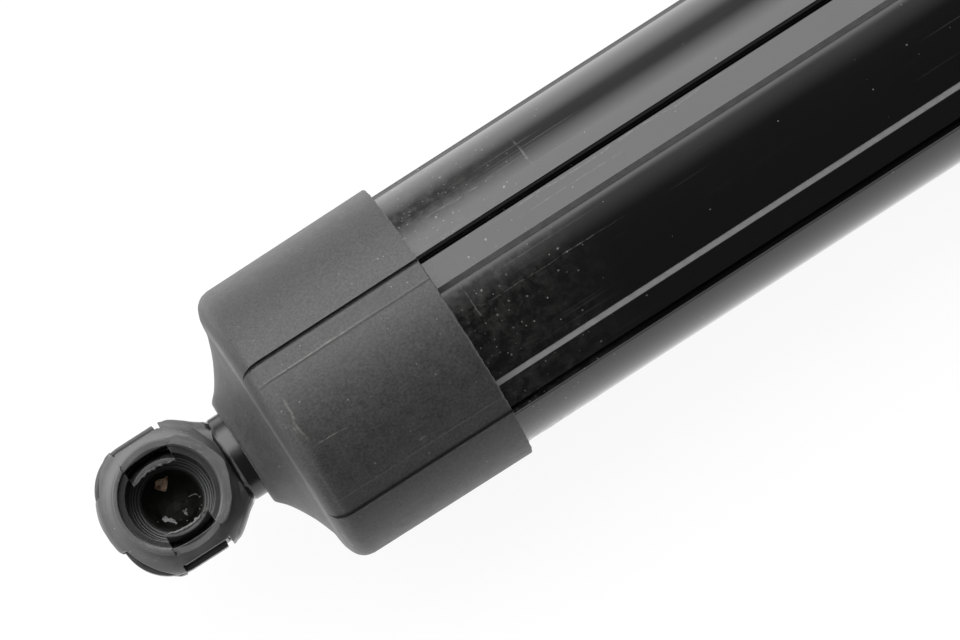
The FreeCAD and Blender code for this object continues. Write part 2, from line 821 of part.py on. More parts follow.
def drive_spring():
    # long compression spring, hexagonal in section where it is wound from round wire
    path = doc.addObject("Part::Helix", "drive_spring_path")
    bind(path, "Radius", "spring_radius")
    bind(path, "Height", "spring_room - 2 * seal_gap - 2 * spring_wire")
    bind(path, "Pitch", "(spring_room - 2 * seal_gap - 2 * spring_wire) / spring_turns")
    wire = doc.addObject("Part::RegularPolygon", "drive_spring_wire")
    wire.Polygon = 6
    bind(wire, "Circumradius", "spring_wire")
    upright = Rotation(Vector(1, 0, 0), 90)
    wire.Placement = Placement(Vector(0, 0, 0), upright * Rotation(Vector(0, 0, 1), 30))
    bind(wire, "Placement.Base.x", "spring_radius")
    sweep = doc.addObject("Part::Sweep", "drive_spring")
    sweep.Sections = [wire]
    sweep.Spine = (path, ["Edge1"])
    sweep.Solid = True
    sweep.Frenet = True
    sweep.Label = "drive_spring"
    sweep.Placement = Placement(Vector(0, 0, 0), Rotation(Vector(0, 1, 0), 90))
    bind(sweep, "Placement.Base.x", "spring_seat_face + seal_gap + spring_wire")
    return sweep


def bearing_housing():
    outside = "drive_bore - press_gap"
    pocket = "bearing_outside + press_gap"
    lock = "housing_wall + bearing_width"
    return turned("bearing_housing", "housing_start", [
        ("0", "collar_radius + seal_gap"),
        ("0", outside),
        ("housing_length", outside),
        ("housing_length", pocket),
        (f"{lock} + lock_thickness + press_gap", pocket),
        (f"{lock} + lock_thickness + press_gap", f"{pocket} + lock_depth"),
        (lock, f"{pocket} + lock_depth"),
        (lock, pocket),
        ("housing_wall", pocket),
        ("housing_wall", "collar_radius + seal_gap"),
    ])


def bearing_outer_ring():
    # race with a shield at each side that runs close to the inner ring
    shield = "bearing_pitch - bearing_shoulder + slide_gap"
    race = "bearing_pitch + bearing_shoulder"
    return turned("bearing_outer_ring", "bearing_start", [
        ("0", shield),
        ("0", "bearing_outside"),
        ("bearing_width", "bearing_outside"),
        ("bearing_width", shield),
        ("bearing_width - bearing_shield", shield),
        ("bearing_width - bearing_shield", race),
        ("bearing_shield", race),
        ("bearing_shield", shield),
    ])


def around(name, count, make):
    # a group of equal solids spaced evenly round the strut's axis
    shapes = []
    for number in range(round(value(count))):
        shape = make()
        shape.rotate(Vector(0, 0, 0), Vector(1, 0, 0), number * 360 / round(value(count)))
        shapes.append(shape)
    item = doc.addObject("Part::Feature", name)
    item.Label = name
    item.Shape = Part.makeCompound(shapes)
    return item


def spindle():
    # screw, collar against the bearing, journal, and the flatted end in the planet carrier
    collar = "bearing_start - spindle_start"
    journal_end = f"({collar} + bearing_width + lock_thickness)"
    return turned("spindle", "spindle_start", [
        ("0", "0"),
        ("planet_start - gear_side_gap - spindle_start", "0"),
        ("planet_start - gear_side_gap - spindle_start", "journal_radius"),
        (journal_end, "journal_radius"),
        (journal_end, "bearing_bore"),
        (collar, "bearing_bore"),
        (collar, "collar_radius"),
        (f"{collar} - collar_length", "collar_radius"),
        (f"{collar} - collar_length", "spindle_radius"),
        ("guide_thickness", "spindle_radius"),
        ("guide_thickness", "journal_radius"),
        ("0", "journal_radius"),
    ])


def spindle_guide():
    # slippery disc that centres the spindle's free end in the push tube
    outside = "(push_bore - slide_gap)"
    return turned("spindle_guide", "spindle_start", [
        ("0", "journal_radius + press_gap"),
        ("guide_thickness - press_gap", "journal_radius + press_gap"),
        ("guide_thickness - press_gap", outside),
        ("guide_chamfer", outside),
        ("0", f"{outside} - guide_chamfer"),
    ])


def planet_carrier():
    body = new_body("planet_carrier")
    sketch = new_sketch(body, "XY_Plane")
    disc = "(gears_start + gear_side_gap)"
    hub = "(bearing_start + bearing_width + lock_thickness + gear_side_gap)"
    end = f"({disc} + carrier_thickness)"
    outline(sketch, [
        (hub, "journal_radius + press_gap"),
        (end, "journal_radius + press_gap"),
        (end, "carrier_radius"),
        (disc, "carrier_radius"),
        (disc, "carrier_hub"),
        (hub, "carrier_hub"),
    ])
    spin(body, "Revolution", sketch)
    sketch = new_sketch(body, "YZ_Plane", end)
    circle(sketch, "pin_radius + press_gap", "0", "planet_orbit")
    hole = feature(body, "Pocket", sketch, Length="pin_depth")
    pattern_about_x(body, hole, "planet_count")
    return body


def planet_pins():
    length = value("pin_depth + planet_width + 2 * gear_side_gap - press_gap")
    radius = value("pin_radius")
    foot = Vector(0, 0, value("planet_orbit"))
    pins = around("planet_pins", "planet_count",
                  lambda: Part.makeCylinder(radius, length, foot, Vector(1, 0, 0)))
    return place(pins, "gears_start + gear_side_gap + carrier_thickness - pin_depth + press_gap")


def involute(angle):
    return math.tan(angle) - angle


def tooth_flank(teeth, radii, thinner):
    # (radius, half angle of the tooth there) at each radius, on the involute of the pitch circle
    pitch = value("gear_module") * teeth / 2
    pressure = math.radians(value("pressure_angle"))
    base = pitch * math.cos(pressure)
    half = math.pi / (2 * teeth) - thinner / (2 * pitch)
    flank = []
    for radius in radii:
        angle = math.acos(base / max(radius, base))
        flank.append((radius, half + involute(pressure) - involute(angle)))
    return flank


def toothed_wire(teeth, flank, phase):
    # straight edges through the flank points of every tooth, root first on each side
    points = []
    for tooth in range(teeth):
        middle = 2 * math.pi * (tooth + phase) / teeth
        rising = [(radius, middle - half) for radius, half in flank]
        falling = [(radius, middle + half) for radius, half in reversed(flank)]
        points += [Vector(0, r * math.sin(a), r * math.cos(a)) for r, a in rising + falling]
    return Part.makePolygon(points + points[:1])


def gear_radii(teeth, inward, outward):
    pitch = value("gear_module") * teeth / 2
    low = pitch - value("gear_module") * inward
    high = pitch + value("gear_module") * outward
    return [low, (low + pitch) / 2, pitch, (pitch + high) / 2, high]


def external_gear(name, teeth, width, bore):
    count = round(value(teeth))
    radii = gear_radii(count, value("tooth_root"), value("tooth_tip"))
    wire = toothed_wire(count, tooth_flank(count, radii, value("backlash")), 0)
    blank = Part.Face(wire).extrude(Vector(value(width), 0, 0))
    hole = Part.makeCylinder(value(bore), value(width), Vector(0, 0, 0), Vector(1, 0, 0))
    gear = doc.addObject("Part::Feature", name)
    gear.Label = name
    gear.Shape = blank.cut(hole)
    return gear


def ring_gear():
    # the spaces of an internal gear have the shape of a mating gear's teeth, with a space at the top
    count = round(value("ring_teeth"))
    length = value("ring_length")
    radii = gear_radii(count, value("tooth_tip"), value("tooth_root"))
    wire = toothed_wire(count, tooth_flank(count, radii, -value("backlash")), 0)
    blank = Part.makeCylinder(value("drive_bore - press_gap"), length, Vector(0, 0, 0), Vector(1, 0, 0))
    gear = doc.addObject("Part::Feature", "ring_gear")
    gear.Label = "ring_gear"
    gear.Shape = blank.cut(Part.Face(wire).extrude(Vector(length, 0, 0)))
    return place(gear, "gears_start")


def planet_gear(number):
    name = f"planet_gear_{number + 1}"
    gear = external_gear(name, "planet_teeth", "planet_width", "pin_radius + running_gap")
    turn = number * 360 / value("planet_count")
    spoke = Rotation(Vector(1, 0, 0), turn)
    centre = spoke.multVec(Vector(0, 0, value("planet_orbit")))
    gear.Placement = Placement(centre, spoke)
    bind(gear, "Placement.Base.x", "planet_start")
    bind(gear, "Placement.Base.y", f"-planet_orbit * sin({turn})")
    bind(gear, "Placement.Base.z", f"planet_orbit * cos({turn})")
    return gear


def motor_can():
    return turned("motor_can", "can_start", [
        ("0", "motor_bush_radius + press_gap"),
        ("0", "can_radius"),
        ("can_length", "can_radius"),
        ("can_length", "can_bore"),
        ("can_front", "can_bore"),
        ("can_front", "motor_bush_radius + press_gap"),
    ])


def motor_end_bell():
    return turned("motor_end_bell", "bell_start", [
        ("0", "motor_bush_radius + press_gap"),
        ("bell_thickness", "motor_bush_radius + press_gap"),
        ("bell_thickness", "can_radius"),
        ("0", "can_radius"),
        ("0", "can_bore - press_gap"),
        ("-bell_spigot", "can_bore - press_gap"),
        ("-bell_spigot", "can_bore - can_wall - press_gap"),
        ("0", "can_bore - can_wall - press_gap"),
    ])


def motor_bushes():
    starts = ["can_start", "bell_start"]
    lengths = ["can_front + gear_side_gap", "bell_thickness"]
    shapes = []
    for start, length in zip(starts, lengths):
        origin = Vector(value(start), 0, 0)
        along = Vector(1, 0, 0)
        outside = Part.makeCylinder(value("motor_bush_radius"), value(length), origin, along)
        bore = Part.makeCylinder(value("shaft_radius + running_gap"), value(length), origin, along)
        shapes.append(outside.cut(bore))
    bushes = doc.addObject("Part::Feature", "motor_bushes")
    bushes.Label = "motor_bushes"
    bushes.Shape = Part.makeCompound(shapes)
    return bushes


def field_magnets():
    outside = value("can_bore - press_gap")
    inside = value("can_bore - magnet_thickness")
    length = value("magnet_length")
    span = value("magnet_span")

    def arc_magnet():
        face = Part.makePolygon([
            Vector(0, 0, inside),
            Vector(length, 0, inside),
            Vector(length, 0, outside),
            Vector(0, 0, outside),
            Vector(0, 0, inside),
        ])
        magnet = Part.Face(face).revolve(Vector(0, 0, 0), Vector(1, 0, 0), span)
        magnet.rotate(Vector(0, 0, 0), Vector(1, 0, 0), -span / 2)
        return magnet

    return place(around("field_magnets", "2", arc_magnet), "magnet_start")


def armature():
    # slotted core with a winding bulge at each end
    body = new_body("armature")
    sketch = new_sketch(body, "XY_Plane")
    bore = "shaft_radius + press_gap"
    coil = "core_radius - core_slot_width"
    outline(sketch, [
        ("-coil_end", bore),
        ("core_length + coil_end", bore),
        ("core_length + coil_end", coil),
        ("core_length", coil),
        ("core_length", "core_radius"),
        ("0", "core_radius"),
        ("0", coil),
        ("-coil_end", coil),
    ])
    spin(body, "Revolution", sketch)
    sketch = new_sketch(body, "YZ_Plane", "core_length")
    outline(sketch, block("-core_slot_width / 2", "core_slot_width / 2",
                          "core_radius - core_slot_depth", "core_radius + overshoot"))
    slot = feature(body, "Pocket", sketch, Length="core_length")
    pattern_about_x(body, slot, "core_slots")
    return place(body, "core_start")


def brushes():
    length = value("brush_width")
    low = value("commutator_radius + running_gap")
    high = value("can_bore - can_wall - 2 * press_gap")
    width = value("brush_width")

    def brush():
        return Part.makeBox(length, width, high - low, Vector(0, -width / 2, low))

    start = "commutator_start + (commutator_length - brush_width) / 2"
    return place(around("brushes", "2", brush), start)


def brush_plate():
    # ring that holds the brush boxes, open where each brush slides
    body = new_body("brush_plate")
    sketch = new_sketch(body, "YZ_Plane")
    circle(sketch, "can_bore - press_gap")
    circle(sketch, "brush_plate_hole")
    feature(body, "Pad", sketch, Length="brush_plate + brush_width")
    half = "(brush_width / 2 + press_gap)"
    inner = "(brush_plate_hole - overshoot)"
    outer = "(can_bore - can_wall - press_gap)"
    for side in ("", "-"):
        sketch = new_sketch(body, "YZ_Plane", "brush_plate + brush_width")
        outline(sketch, block(f"-{half}", half, f"{side}{inner}", f"{side}{outer}"))
        feature(body, "Pocket", sketch, Length="brush_width + press_gap")
    place(body, "commutator_start + (commutator_length - brush_width) / 2 - brush_plate")
    return body


def sensor_board():
    # round board with a notch for the cable
    body = new_body("sensor_board")
    sketch = new_sketch(body, "YZ_Plane")
    circle(sketch, "drive_bore - press_gap")
    feature(body, "Pad", sketch, Length="board_thickness")
    sketch = new_sketch(body, "YZ_Plane", "board_thickness")
    outline(sketch, block("drive_bore - board_notch", "drive_bore + overshoot",
                          "-board_notch / 2", "board_notch / 2"))
    feature(body, "Pocket", sketch, Length="board_thickness")
    return place(body, "board_start")


fill_sheet()

ball_socket("upper_ball_socket")
retaining_clip("upper_retaining_clip")
stud("upper_stud")
place(boot("upper_boot", "lobe_radius", profiled=True), roll="tube_roll")
upper_end_plug()
cover_tube()
ring("push_tube", "plug_end", "push_end - plug_end", "push_radius", "push_bore")
spindle_nut()
in_cover("spring_seat", "plug_end", "seat_thickness", "press_gap", "push_radius + press_gap")
drive_spring()
in_cover("guide_bush", "bush_start", "bush_length", "press_gap", "drive_radius + slide_gap")
in_cover("wiper_seal", "wiper_start", "wiper_thickness", "press_gap", "drive_radius + seal_gap")
end_ring()

ring("drive_tube", "drive_start", "drive_end - drive_start", "drive_radius", "drive_bore")
keyed_guide_ring()
ring("spring_cup", "cup_face", "seat_thickness", "drive_bore - press_gap", "collar_radius + seal_gap")
bearing_housing()
bearing_outer_ring()
ring("bearing_inner_ring", "bearing_start", "bearing_width", "bearing_pitch - bearing_shoulder",
     "bearing_bore + press_gap / 2")
ring("bearing_lock_ring", "bearing_start + bearing_width + press_gap / 2", "lock_thickness",
     "bearing_outside + lock_depth", "bearing_outside - lock_depth")
spindle()
spindle_guide()
planet_carrier()
planet_pins()
ring_gear()
for number in range(DRIVING["planet_count"]):
    planet_gear(number)
place(external_gear("sun_pinion", "sun_teeth", "planet_width + 2 * gear_side_gap",
                    "shaft_radius + press_gap"), "planet_start")
ring("gearbox_plate", "gear_plate_start", "gear_plate", "drive_bore - press_gap", "shaft_radius * 2")
ring("front_decoupler", "decoupler_start", "decoupler", "drive_bore - press_gap", "decoupler_hole")
motor_can()
motor_bushes()
field_magnets()
ring("motor_shaft", "shaft_start", "shaft_end - shaft_start", "shaft_radius", "0")
armature()
ring("commutator", "commutator_start", "commutator_length", "commutator_radius", "shaft_radius + press_gap")
brush_plate()
brushes()
motor_end_bell()
ring("rear_decoupler", "rear_decoupler_start", "decoupler", "drive_bore - press_gap", "decoupler_hole")
ring("sensor_magnet", "rear_decoupler_start + decoupler - sensor_magnet", "sensor_magnet",
     "sensor_magnet_radius", "shaft_radius + press_gap")
sensor_board()
lower_end_plug()
at_lower_end(stud("lower_stud"))
lower_boot()
at_lower_end(ball_socket("lower_ball_socket"))
at_lower_end(retaining_clip("lower_retaining_clip"))
cable_grommet()

doc.recompute()

NODES = [
    "upper_ball_socket", "upper_retaining_clip", "upper_stud", "upper_end_plug", "upper_boot",
    "cover_tube", "push_tube", "spindle_nut", "spring_seat", "drive_spring", "guide_bush",
    "wiper_seal", "end_ring", "drive_tube", "keyed_guide_ring", "spring_cup", "bearing_housing",
    "bearing_outer_ring", "bearing_inner_ring",
    "bearing_lock_ring", "spindle", "spindle_guide", "planet_carrier", "planet_pins", "ring_gear",
    "planet_gear_1", "planet_gear_2", "planet_gear_3", "sun_pinion", "gearbox_plate",
    "front_decoupler", "motor_can", "motor_bushes", "field_magnets", "motor_shaft", "armature",
    "commutator", "brush_plate", "brushes", "motor_end_bell", "rear_decoupler", "sensor_magnet",
    "sensor_board", "lower_end_plug", "lower_stud", "lower_boot", "lower_ball_socket",
    "lower_retaining_clip", "cable_grommet",
]

broken = [item.Name for item in doc.Objects if "Invalid" in item.State or "Error" in item.State]
for name in NODES:
    shape = doc.getObject(name).Shape
    if shape.isNull() or not shape.isValid():
        broken.append(name)
if broken:
    raise RuntimeError(f"not built: {broken}")

os.makedirs("parts", exist_ok=True)
for name in NODES:
    doc.getObject(name).Shape.exportStep(f"parts/{name}.step")
print(f"{len(NODES)} pieces written")
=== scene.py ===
import bpy
import bmesh
import math
from mathutils import Matrix, Vector, noise


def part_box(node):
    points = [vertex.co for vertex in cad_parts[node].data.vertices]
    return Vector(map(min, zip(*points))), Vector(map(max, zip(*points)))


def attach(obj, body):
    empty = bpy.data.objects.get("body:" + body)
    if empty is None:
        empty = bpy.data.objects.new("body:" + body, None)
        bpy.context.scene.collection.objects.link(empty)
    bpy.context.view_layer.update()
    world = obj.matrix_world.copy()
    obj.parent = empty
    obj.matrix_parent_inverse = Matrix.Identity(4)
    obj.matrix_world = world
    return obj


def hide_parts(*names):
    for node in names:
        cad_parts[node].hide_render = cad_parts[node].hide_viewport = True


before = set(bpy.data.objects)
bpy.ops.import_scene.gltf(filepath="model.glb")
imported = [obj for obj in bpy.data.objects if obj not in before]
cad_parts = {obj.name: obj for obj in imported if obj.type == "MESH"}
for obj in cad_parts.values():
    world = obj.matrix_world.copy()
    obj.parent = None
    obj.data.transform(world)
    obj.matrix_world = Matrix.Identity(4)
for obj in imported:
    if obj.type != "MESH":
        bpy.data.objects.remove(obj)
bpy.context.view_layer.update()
mm = 0.001


# node helpers

class Nodes:
    # a node tree with short calls for adding and linking

    def __init__(self, tree):
        self.tree = tree

    def add(self, kind, inputs=None, **settings):
        node = self.tree.nodes.new(kind)
        for name, setting in settings.items():
            setattr(node, name, setting)
        for name, source in (inputs or {}).items():
            self.feed(node.inputs[name], source)
        return node

    def feed(self, socket, source):
        if isinstance(source, bpy.types.NodeSocket):
            self.tree.links.new(source, socket)
        else:
            socket.default_value = source

    def math(self, operation, first, second=0.0):
        node = self.add("ShaderNodeMath", operation=operation)
        self.feed(node.inputs[0], first)
        self.feed(node.inputs[1], second)
        return node.outputs[0]

    def times(self, first, *others):
        for other in others:
            first = self.math("MULTIPLY", first, other)
        return first

    def plus(self, first, *others):
        for other in others:
            first = self.math("ADD", first, other)
        return first

    def minus(self, first, second):
        return self.math("SUBTRACT", first, second)

    def size(self, value):
        return self.math("ABSOLUTE", value)

    def radius(self, first, second):
        return self.math("SQRT", self.plus(self.times(first, first), self.times(second, second)))

    def ramp(self, value, low, high, toLow=0.0, toHigh=1.0):
        node = self.add("ShaderNodeMapRange")
        for name, source in zip(("Value", "From Min", "From Max", "To Min", "To Max"),
                                (value, low, high, toLow, toHigh)):
            self.feed(node.inputs[name], source)
        return node.outputs["Result"]

    def between(self, value, outLow, low, high, outHigh):
        # one from low to high, fading to nothing at the outer two
        return self.times(self.ramp(value, outLow, low), self.ramp(value, outHigh, high))

    def mix(self, factor, first, second):
        node = self.add("ShaderNodeMix", data_type="RGBA")
        self.feed(node.inputs["Factor"], factor)
        self.feed(next(slot for slot in node.inputs if slot.identifier == "A_Color"), first)
        self.feed(next(slot for slot in node.inputs if slot.identifier == "B_Color"), second)
        return next(slot for slot in node.outputs if slot.identifier == "Result_Color")

    def noise(self, vector, scale, detail=2.0, roughness=0.5):
        node = self.add("ShaderNodeTexNoise", {"Vector": vector, "Scale": scale, "Detail": detail,
                                               "Roughness": roughness})
        return node.outputs["Fac"]

    def place(self):
        return self.add("ShaderNodeTexCoord").outputs["Object"]

    def axes(self):
        return self.add("ShaderNodeSeparateXYZ", {"Vector": self.place()}).outputs

    def stretched(self, scale):
        # object coordinates, stretched so that a texture runs in long lines
        mapping = self.add("ShaderNodeMapping", {"Vector": self.place(), "Scale": scale})
        return mapping.outputs["Vector"]


def newGroup(name, inputs, outputs):
    tree = bpy.data.node_groups.new(name, "ShaderNodeTree")
    for label, default in inputs.items():
        socket = tree.interface.new_socket(label, in_out="INPUT", socket_type="NodeSocketFloat")
        socket.default_value = default
    for label in outputs:
        tree.interface.new_socket(label, in_out="OUTPUT", socket_type="NodeSocketFloat")
    nodes = Nodes(tree)
    given = nodes.add("NodeGroupInput").outputs
    result = nodes.add("NodeGroupOutput").inputs
    return tree, nodes, given, result


def colour(shade):
    return (*shade, 1.0) if hasattr(shade, "__len__") else (shade, shade, shade, 1.0)


# shared effects

def grainGroup():
    # fine moulded or rubber grain as a height, and a slow mottle
    tree, nodes, given, result = newGroup("surfaceGrain", {"Scale": 3000.0, "Mottle": 120.0},
                                          ["Height", "Mottle"])
    place = nodes.place()
    nodes.feed(result["Height"], nodes.noise(place, given["Scale"], 3.0, 0.6))
    nodes.feed(result["Mottle"], nodes.noise(place, given["Mottle"], 4.0, 0.55))
    return tree


def dustGroup():
    # scattered specks of several sizes; Share is how many of the cells hold one
    tree, nodes, given, result = newGroup("dustSpecks", {"Scale": 900.0, "Share": 0.04, "Size": 0.18},
                                          ["Specks"])
    cells = nodes.add("ShaderNodeTexVoronoi", {"Vector": nodes.place(), "Scale": given["Scale"]})
    draw = nodes.add("ShaderNodeSeparateColor", {"Color": cells.outputs["Color"]}).outputs
    chosen = nodes.math("LESS_THAN", draw["Red"], given["Share"])
    reach = nodes.times(given["Size"], nodes.ramp(draw["Green"], 0.0, 1.0, 0.4, 1.3))
    near = nodes.math("LESS_THAN", cells.outputs["Distance"], reach)
    strength = nodes.ramp(draw["Blue"], 0.0, 1.0, 0.3, 1.0)
    nodes.feed(result["Specks"], nodes.times(chosen, near, strength))
    return tree


def rubGroup():
    # faint rub marks that run along the strut
    tree, nodes, given, result = newGroup("rubMarks", {"Threshold": 0.62}, ["Marks"])
    thin = nodes.noise(nodes.stretched((30, 2600, 2600)), 1.0, 2.0, 0.6)
    patches = nodes.noise(nodes.place(), 60.0, 2.0)
    fine = nodes.ramp(thin, given["Threshold"], nodes.plus(given["Threshold"], 0.08))
    nodes.feed(result["Marks"], nodes.times(fine, nodes.ramp(patches, 0.45, 0.7)))
    return tree


def wearGroup():
    # pale rubbed edges, from how sharply the surface turns
    tree, nodes, given, result = newGroup("edgeWear", {"Start": 0.54}, ["Wear"])
    sharp = nodes.add("ShaderNodeNewGeometry").outputs["Pointiness"]
    patches = nodes.noise(nodes.place(), 400.0, 3.0)
    edge = nodes.ramp(sharp, given["Start"], nodes.plus(given["Start"], 0.08))
    nodes.feed(result["Wear"], nodes.times(edge, nodes.ramp(patches, 0.35, 0.6)))
    return tree


def scuffGroup():
    # one scuffed stroke: a wavering line at Middle, between Low and High, that fades at both ends
    tree, nodes, given, result = newGroup(
        "scuffStroke", {"Across": 0.0, "Along": 0.0, "Middle": 0.0, "Width": 0.0001, "Low": 0.0, "High": 0.01,
                        "Waver": 0.0}, ["Mark"])
    along, low, high = given["Along"], given["Low"], given["High"]
    swing = nodes.minus(nodes.noise(nodes.place(), 180.0), 0.5)
    drift = nodes.times(swing, nodes.times(given["Waver"], 2.0))
    off = nodes.size(nodes.minus(nodes.plus(given["Across"], drift), given["Middle"]))
    line = nodes.ramp(off, given["Width"], nodes.times(given["Width"], 0.3))
    fade = nodes.times(nodes.minus(high, low), 0.3)
    inside = nodes.between(along, low, nodes.plus(low, fade), nodes.minus(high, fade), high)
    broken = nodes.ramp(nodes.noise(nodes.place(), 1400.0, 3.0), 0.35, 0.65)
    nodes.feed(result["Mark"], nodes.times(line, inside, broken))
    return tree


groups = {"grain": grainGroup(), "dust": dustGroup(), "rub": rubGroup(), "wear": wearGroup(),
          "scuff": scuffGroup()}
print("shared effects ready")


# materials

def startMaterial(name):
    material = bpy.data.materials.new(name)
    material.use_nodes = True
    nodes = Nodes(material.node_tree)
    shader = material.node_tree.nodes["Principled BSDF"]
    return material, nodes, shader


def placed(nodes, effect, **inputs):
    node = nodes.add("ShaderNodeGroup", node_tree=groups[effect])
    for name, source in inputs.items():
        nodes.feed(node.inputs[name], source)
    return node.outputs


def bumped(nodes, shader, height, strength, distance):
    bump = nodes.add("ShaderNodeBump", {"Height": height, "Strength": strength, "Distance": distance})
    nodes.feed(shader.inputs["Normal"], bump.outputs["Normal"])


def scuffed(nodes, base, finish):
    # the finish's scuff strokes on the side that faces up; each runs along X or Y
    axes = nodes.axes()
    upper = nodes.math("GREATER_THAN", axes["Z"], 0.0)
    for run, middle, width, low, high, waver in finish.get("scuffs", []):
        across, along = (axes["X"], axes["Y"]) if run == "Y" else (axes["Y"], axes["X"])
        mark = placed(nodes, "scuff", Across=across, Along=along, Middle=middle * mm, Width=width * mm,
                      Low=low * mm, High=high * mm, Waver=waver * mm)["Mark"]
        base = nodes.mix(nodes.times(mark, upper, finish["scuff"]), base, colour(finish["dustColour"]))
    return base


def oilAndShadeMask(nodes, finish):
    # oil that has crept round the neck and the cup's ledge makes them shinier; their darker colour is painted
    # shade, for the groove by the neck and the cup's ledge and walls; both ends alike
    axes = nodes.axes()
    middle = finish["strutMiddle"] * mm
    along = nodes.minus(middle, nodes.size(nodes.minus(axes["X"], middle)))
    start, end = (place * mm for place in finish["oilShadeNeck"])
    neck = nodes.between(along, start, start + 0.2 * mm, end, end + mm)
    inside, outside, face = (place * mm for place in finish["oilShadeCup"])
    radius = nodes.radius(along, axes["Y"])
    side = nodes.size(axes["Y"])
    ledge = nodes.math("MAXIMUM", nodes.ramp(radius, inside, inside + 0.1 * mm),
                       nodes.ramp(side, finish["oilShadeLip"] * mm, (finish["oilShadeLip"] + 0.4) * mm))
    cup = nodes.times(ledge, nodes.ramp(radius, outside, outside - 0.1 * mm),
                      nodes.ramp(axes["Z"], face, face - 0.5 * mm))
    return nodes.math("MAXIMUM", neck, nodes.times(cup, finish["oilShadeCupShare"]))


def grainy(name, finish):
    # rubber and moulded plastic: mottled colour, grain bump, dust and pale edges
    material, nodes, shader = startMaterial(name)
    grain = placed(nodes, "grain", Scale=finish["grainScale"], Mottle=finish["mottleScale"])
    specks = placed(nodes, "dust", Scale=finish["dustScale"], Share=finish["dustShare"],
                    Size=finish["dustSize"])["Specks"]
    wear = placed(nodes, "wear", Start=finish["wearStart"])["Wear"]
    fine = finish.get("fine", 0.0)      # share of the mottle that is as fine as the grain
    mottle = nodes.plus(nodes.times(nodes.ramp(grain["Mottle"], 0.3, 0.7), 1 - fine),
                        nodes.times(nodes.ramp(grain["Height"], 0.35, 0.65), fine))
    base = nodes.mix(mottle, colour(finish["dark"]), colour(finish["pale"]))
    base = nodes.mix(nodes.times(wear, finish["wear"]), base, colour(finish["edge"]))
    base = nodes.mix(nodes.times(specks, finish["dust"]), base, colour(finish["dustColour"]))
    base = scuffed(nodes, base, finish)
    rough = nodes.ramp(grain["Mottle"], 0.3, 0.7, finish["roughness"] - 0.05, finish["roughness"] + 0.05)
    if "oilShadeNeck" in finish:
        oilShade = oilAndShadeMask(nodes, finish)
        # painted shade: the neck's groove and the cup's ledge and walls get a darker colour, along with the
        # oil's gloss
        base = nodes.mix(oilShade, base, colour(finish["oilShade"]))
        rough = nodes.minus(rough, nodes.times(oilShade, finish["oilGloss"]))
    nodes.feed(shader.inputs["Base Color"], base)
    nodes.feed(shader.inputs["Roughness"], rough)
    shader.inputs["Specular IOR Level"].default_value = finish["specular"]
    shader.inputs["Sheen Weight"].default_value = finish.get("sheen", 0.0)
    shader.inputs["Sheen Roughness"].default_value = 0.4
    bumped(nodes, shader, grain["Height"], finish["bump"], finish["bumpDepth"])
    return material


bootRubberFinish = {
    "dark": 0.006, "pale": 0.027, "edge": 0.13, "wear": 0.6, "wearStart": 0.53, "fine": 0.75,
    "dust": 0.3, "dustColour": (0.30, 0.29, 0.26), "dustScale": 1700, "dustShare": 0.14, "dustSize": 0.15,
    # each scuff: the way it runs, its middle and width, where it starts and ends, and its waver
    "scuffs": [("Y", 16.6, 0.20, -4.6, 2.4, 1.3), ("Y", 16.2, 0.12, -3.4, -1.2, 0.8),
               ("X", -4.75, 0.09, 16.4, 22.0, 0.8), ("X", -10.55, 0.16, 27.4, 28.5, 0.2),
               ("X", 4.4, 0.10, 14.6, 31.0, 0.3)],
    "scuff": 0.24,
    "grainScale": 3200, "mottleScale": 700, "roughness": 0.55, "specular": 0.5, "sheen": 0.12,
    "bump": 0.35, "bumpDepth": 0.00008,
}
socketPlasticFinish = {
    "dark": 0.034, "pale": 0.048, "edge": 0.12, "wear": 0.4, "wearStart": 0.54,
    "dust": 0.5, "dustColour": (0.35, 0.33, 0.29), "dustScale": 1500, "dustShare": 0.04, "dustSize": 0.14,
    "grainScale": 5000, "mottleScale": 500, "roughness": 0.40, "specular": 0.5,
    # the oiled neck and cup: painted shade in their darker colour, and real oil in their gloss
    "oilShadeNeck": (7.7, 10.4), "oilShadeCup": (5.12, 6.05, 5.9), "oilShadeLip": 4.35, "oilShadeCupShare": 0.85,
    "oilShade": 0.004, "oilGloss": 0.16, "strutMiddle": 228.0,
    "bump": 0.15, "bumpDepth": 0.00004,
}
hardPlasticFinish = {
    "dark": 0.018, "pale": 0.026, "edge": 0.07, "wear": 0.5, "wearStart": 0.54,
    "dust": 0.3, "dustColour": (0.30, 0.29, 0.26), "dustScale": 1200, "dustShare": 0.03, "dustSize": 0.15,
    "grainScale": 4500, "mottleScale": 200, "roughness": 0.42, "specular": 0.5,
    "bump": 0.2, "bumpDepth": 0.00005,
}
greaseFinish = {
    "dark": (0.004, 0.004, 0.0035), "pale": (0.010, 0.0105, 0.008), "edge": 0.03, "wear": 0.3,
    "wearStart": 0.56, "dust": 0.6, "dustColour": (0.30, 0.30, 0.27), "dustScale": 2500,
    "dustShare": 0.02, "dustSize": 0.15, "grainScale": 2200, "mottleScale": 500, "roughness": 0.45,
    "specular": 0.12, "bump": 0.3, "bumpDepth": 0.0001,
}
driedGreaseFinish = dict(greaseFinish, dark=0.02, pale=0.10, roughness=0.4, specular=0.4, mottleScale=900)
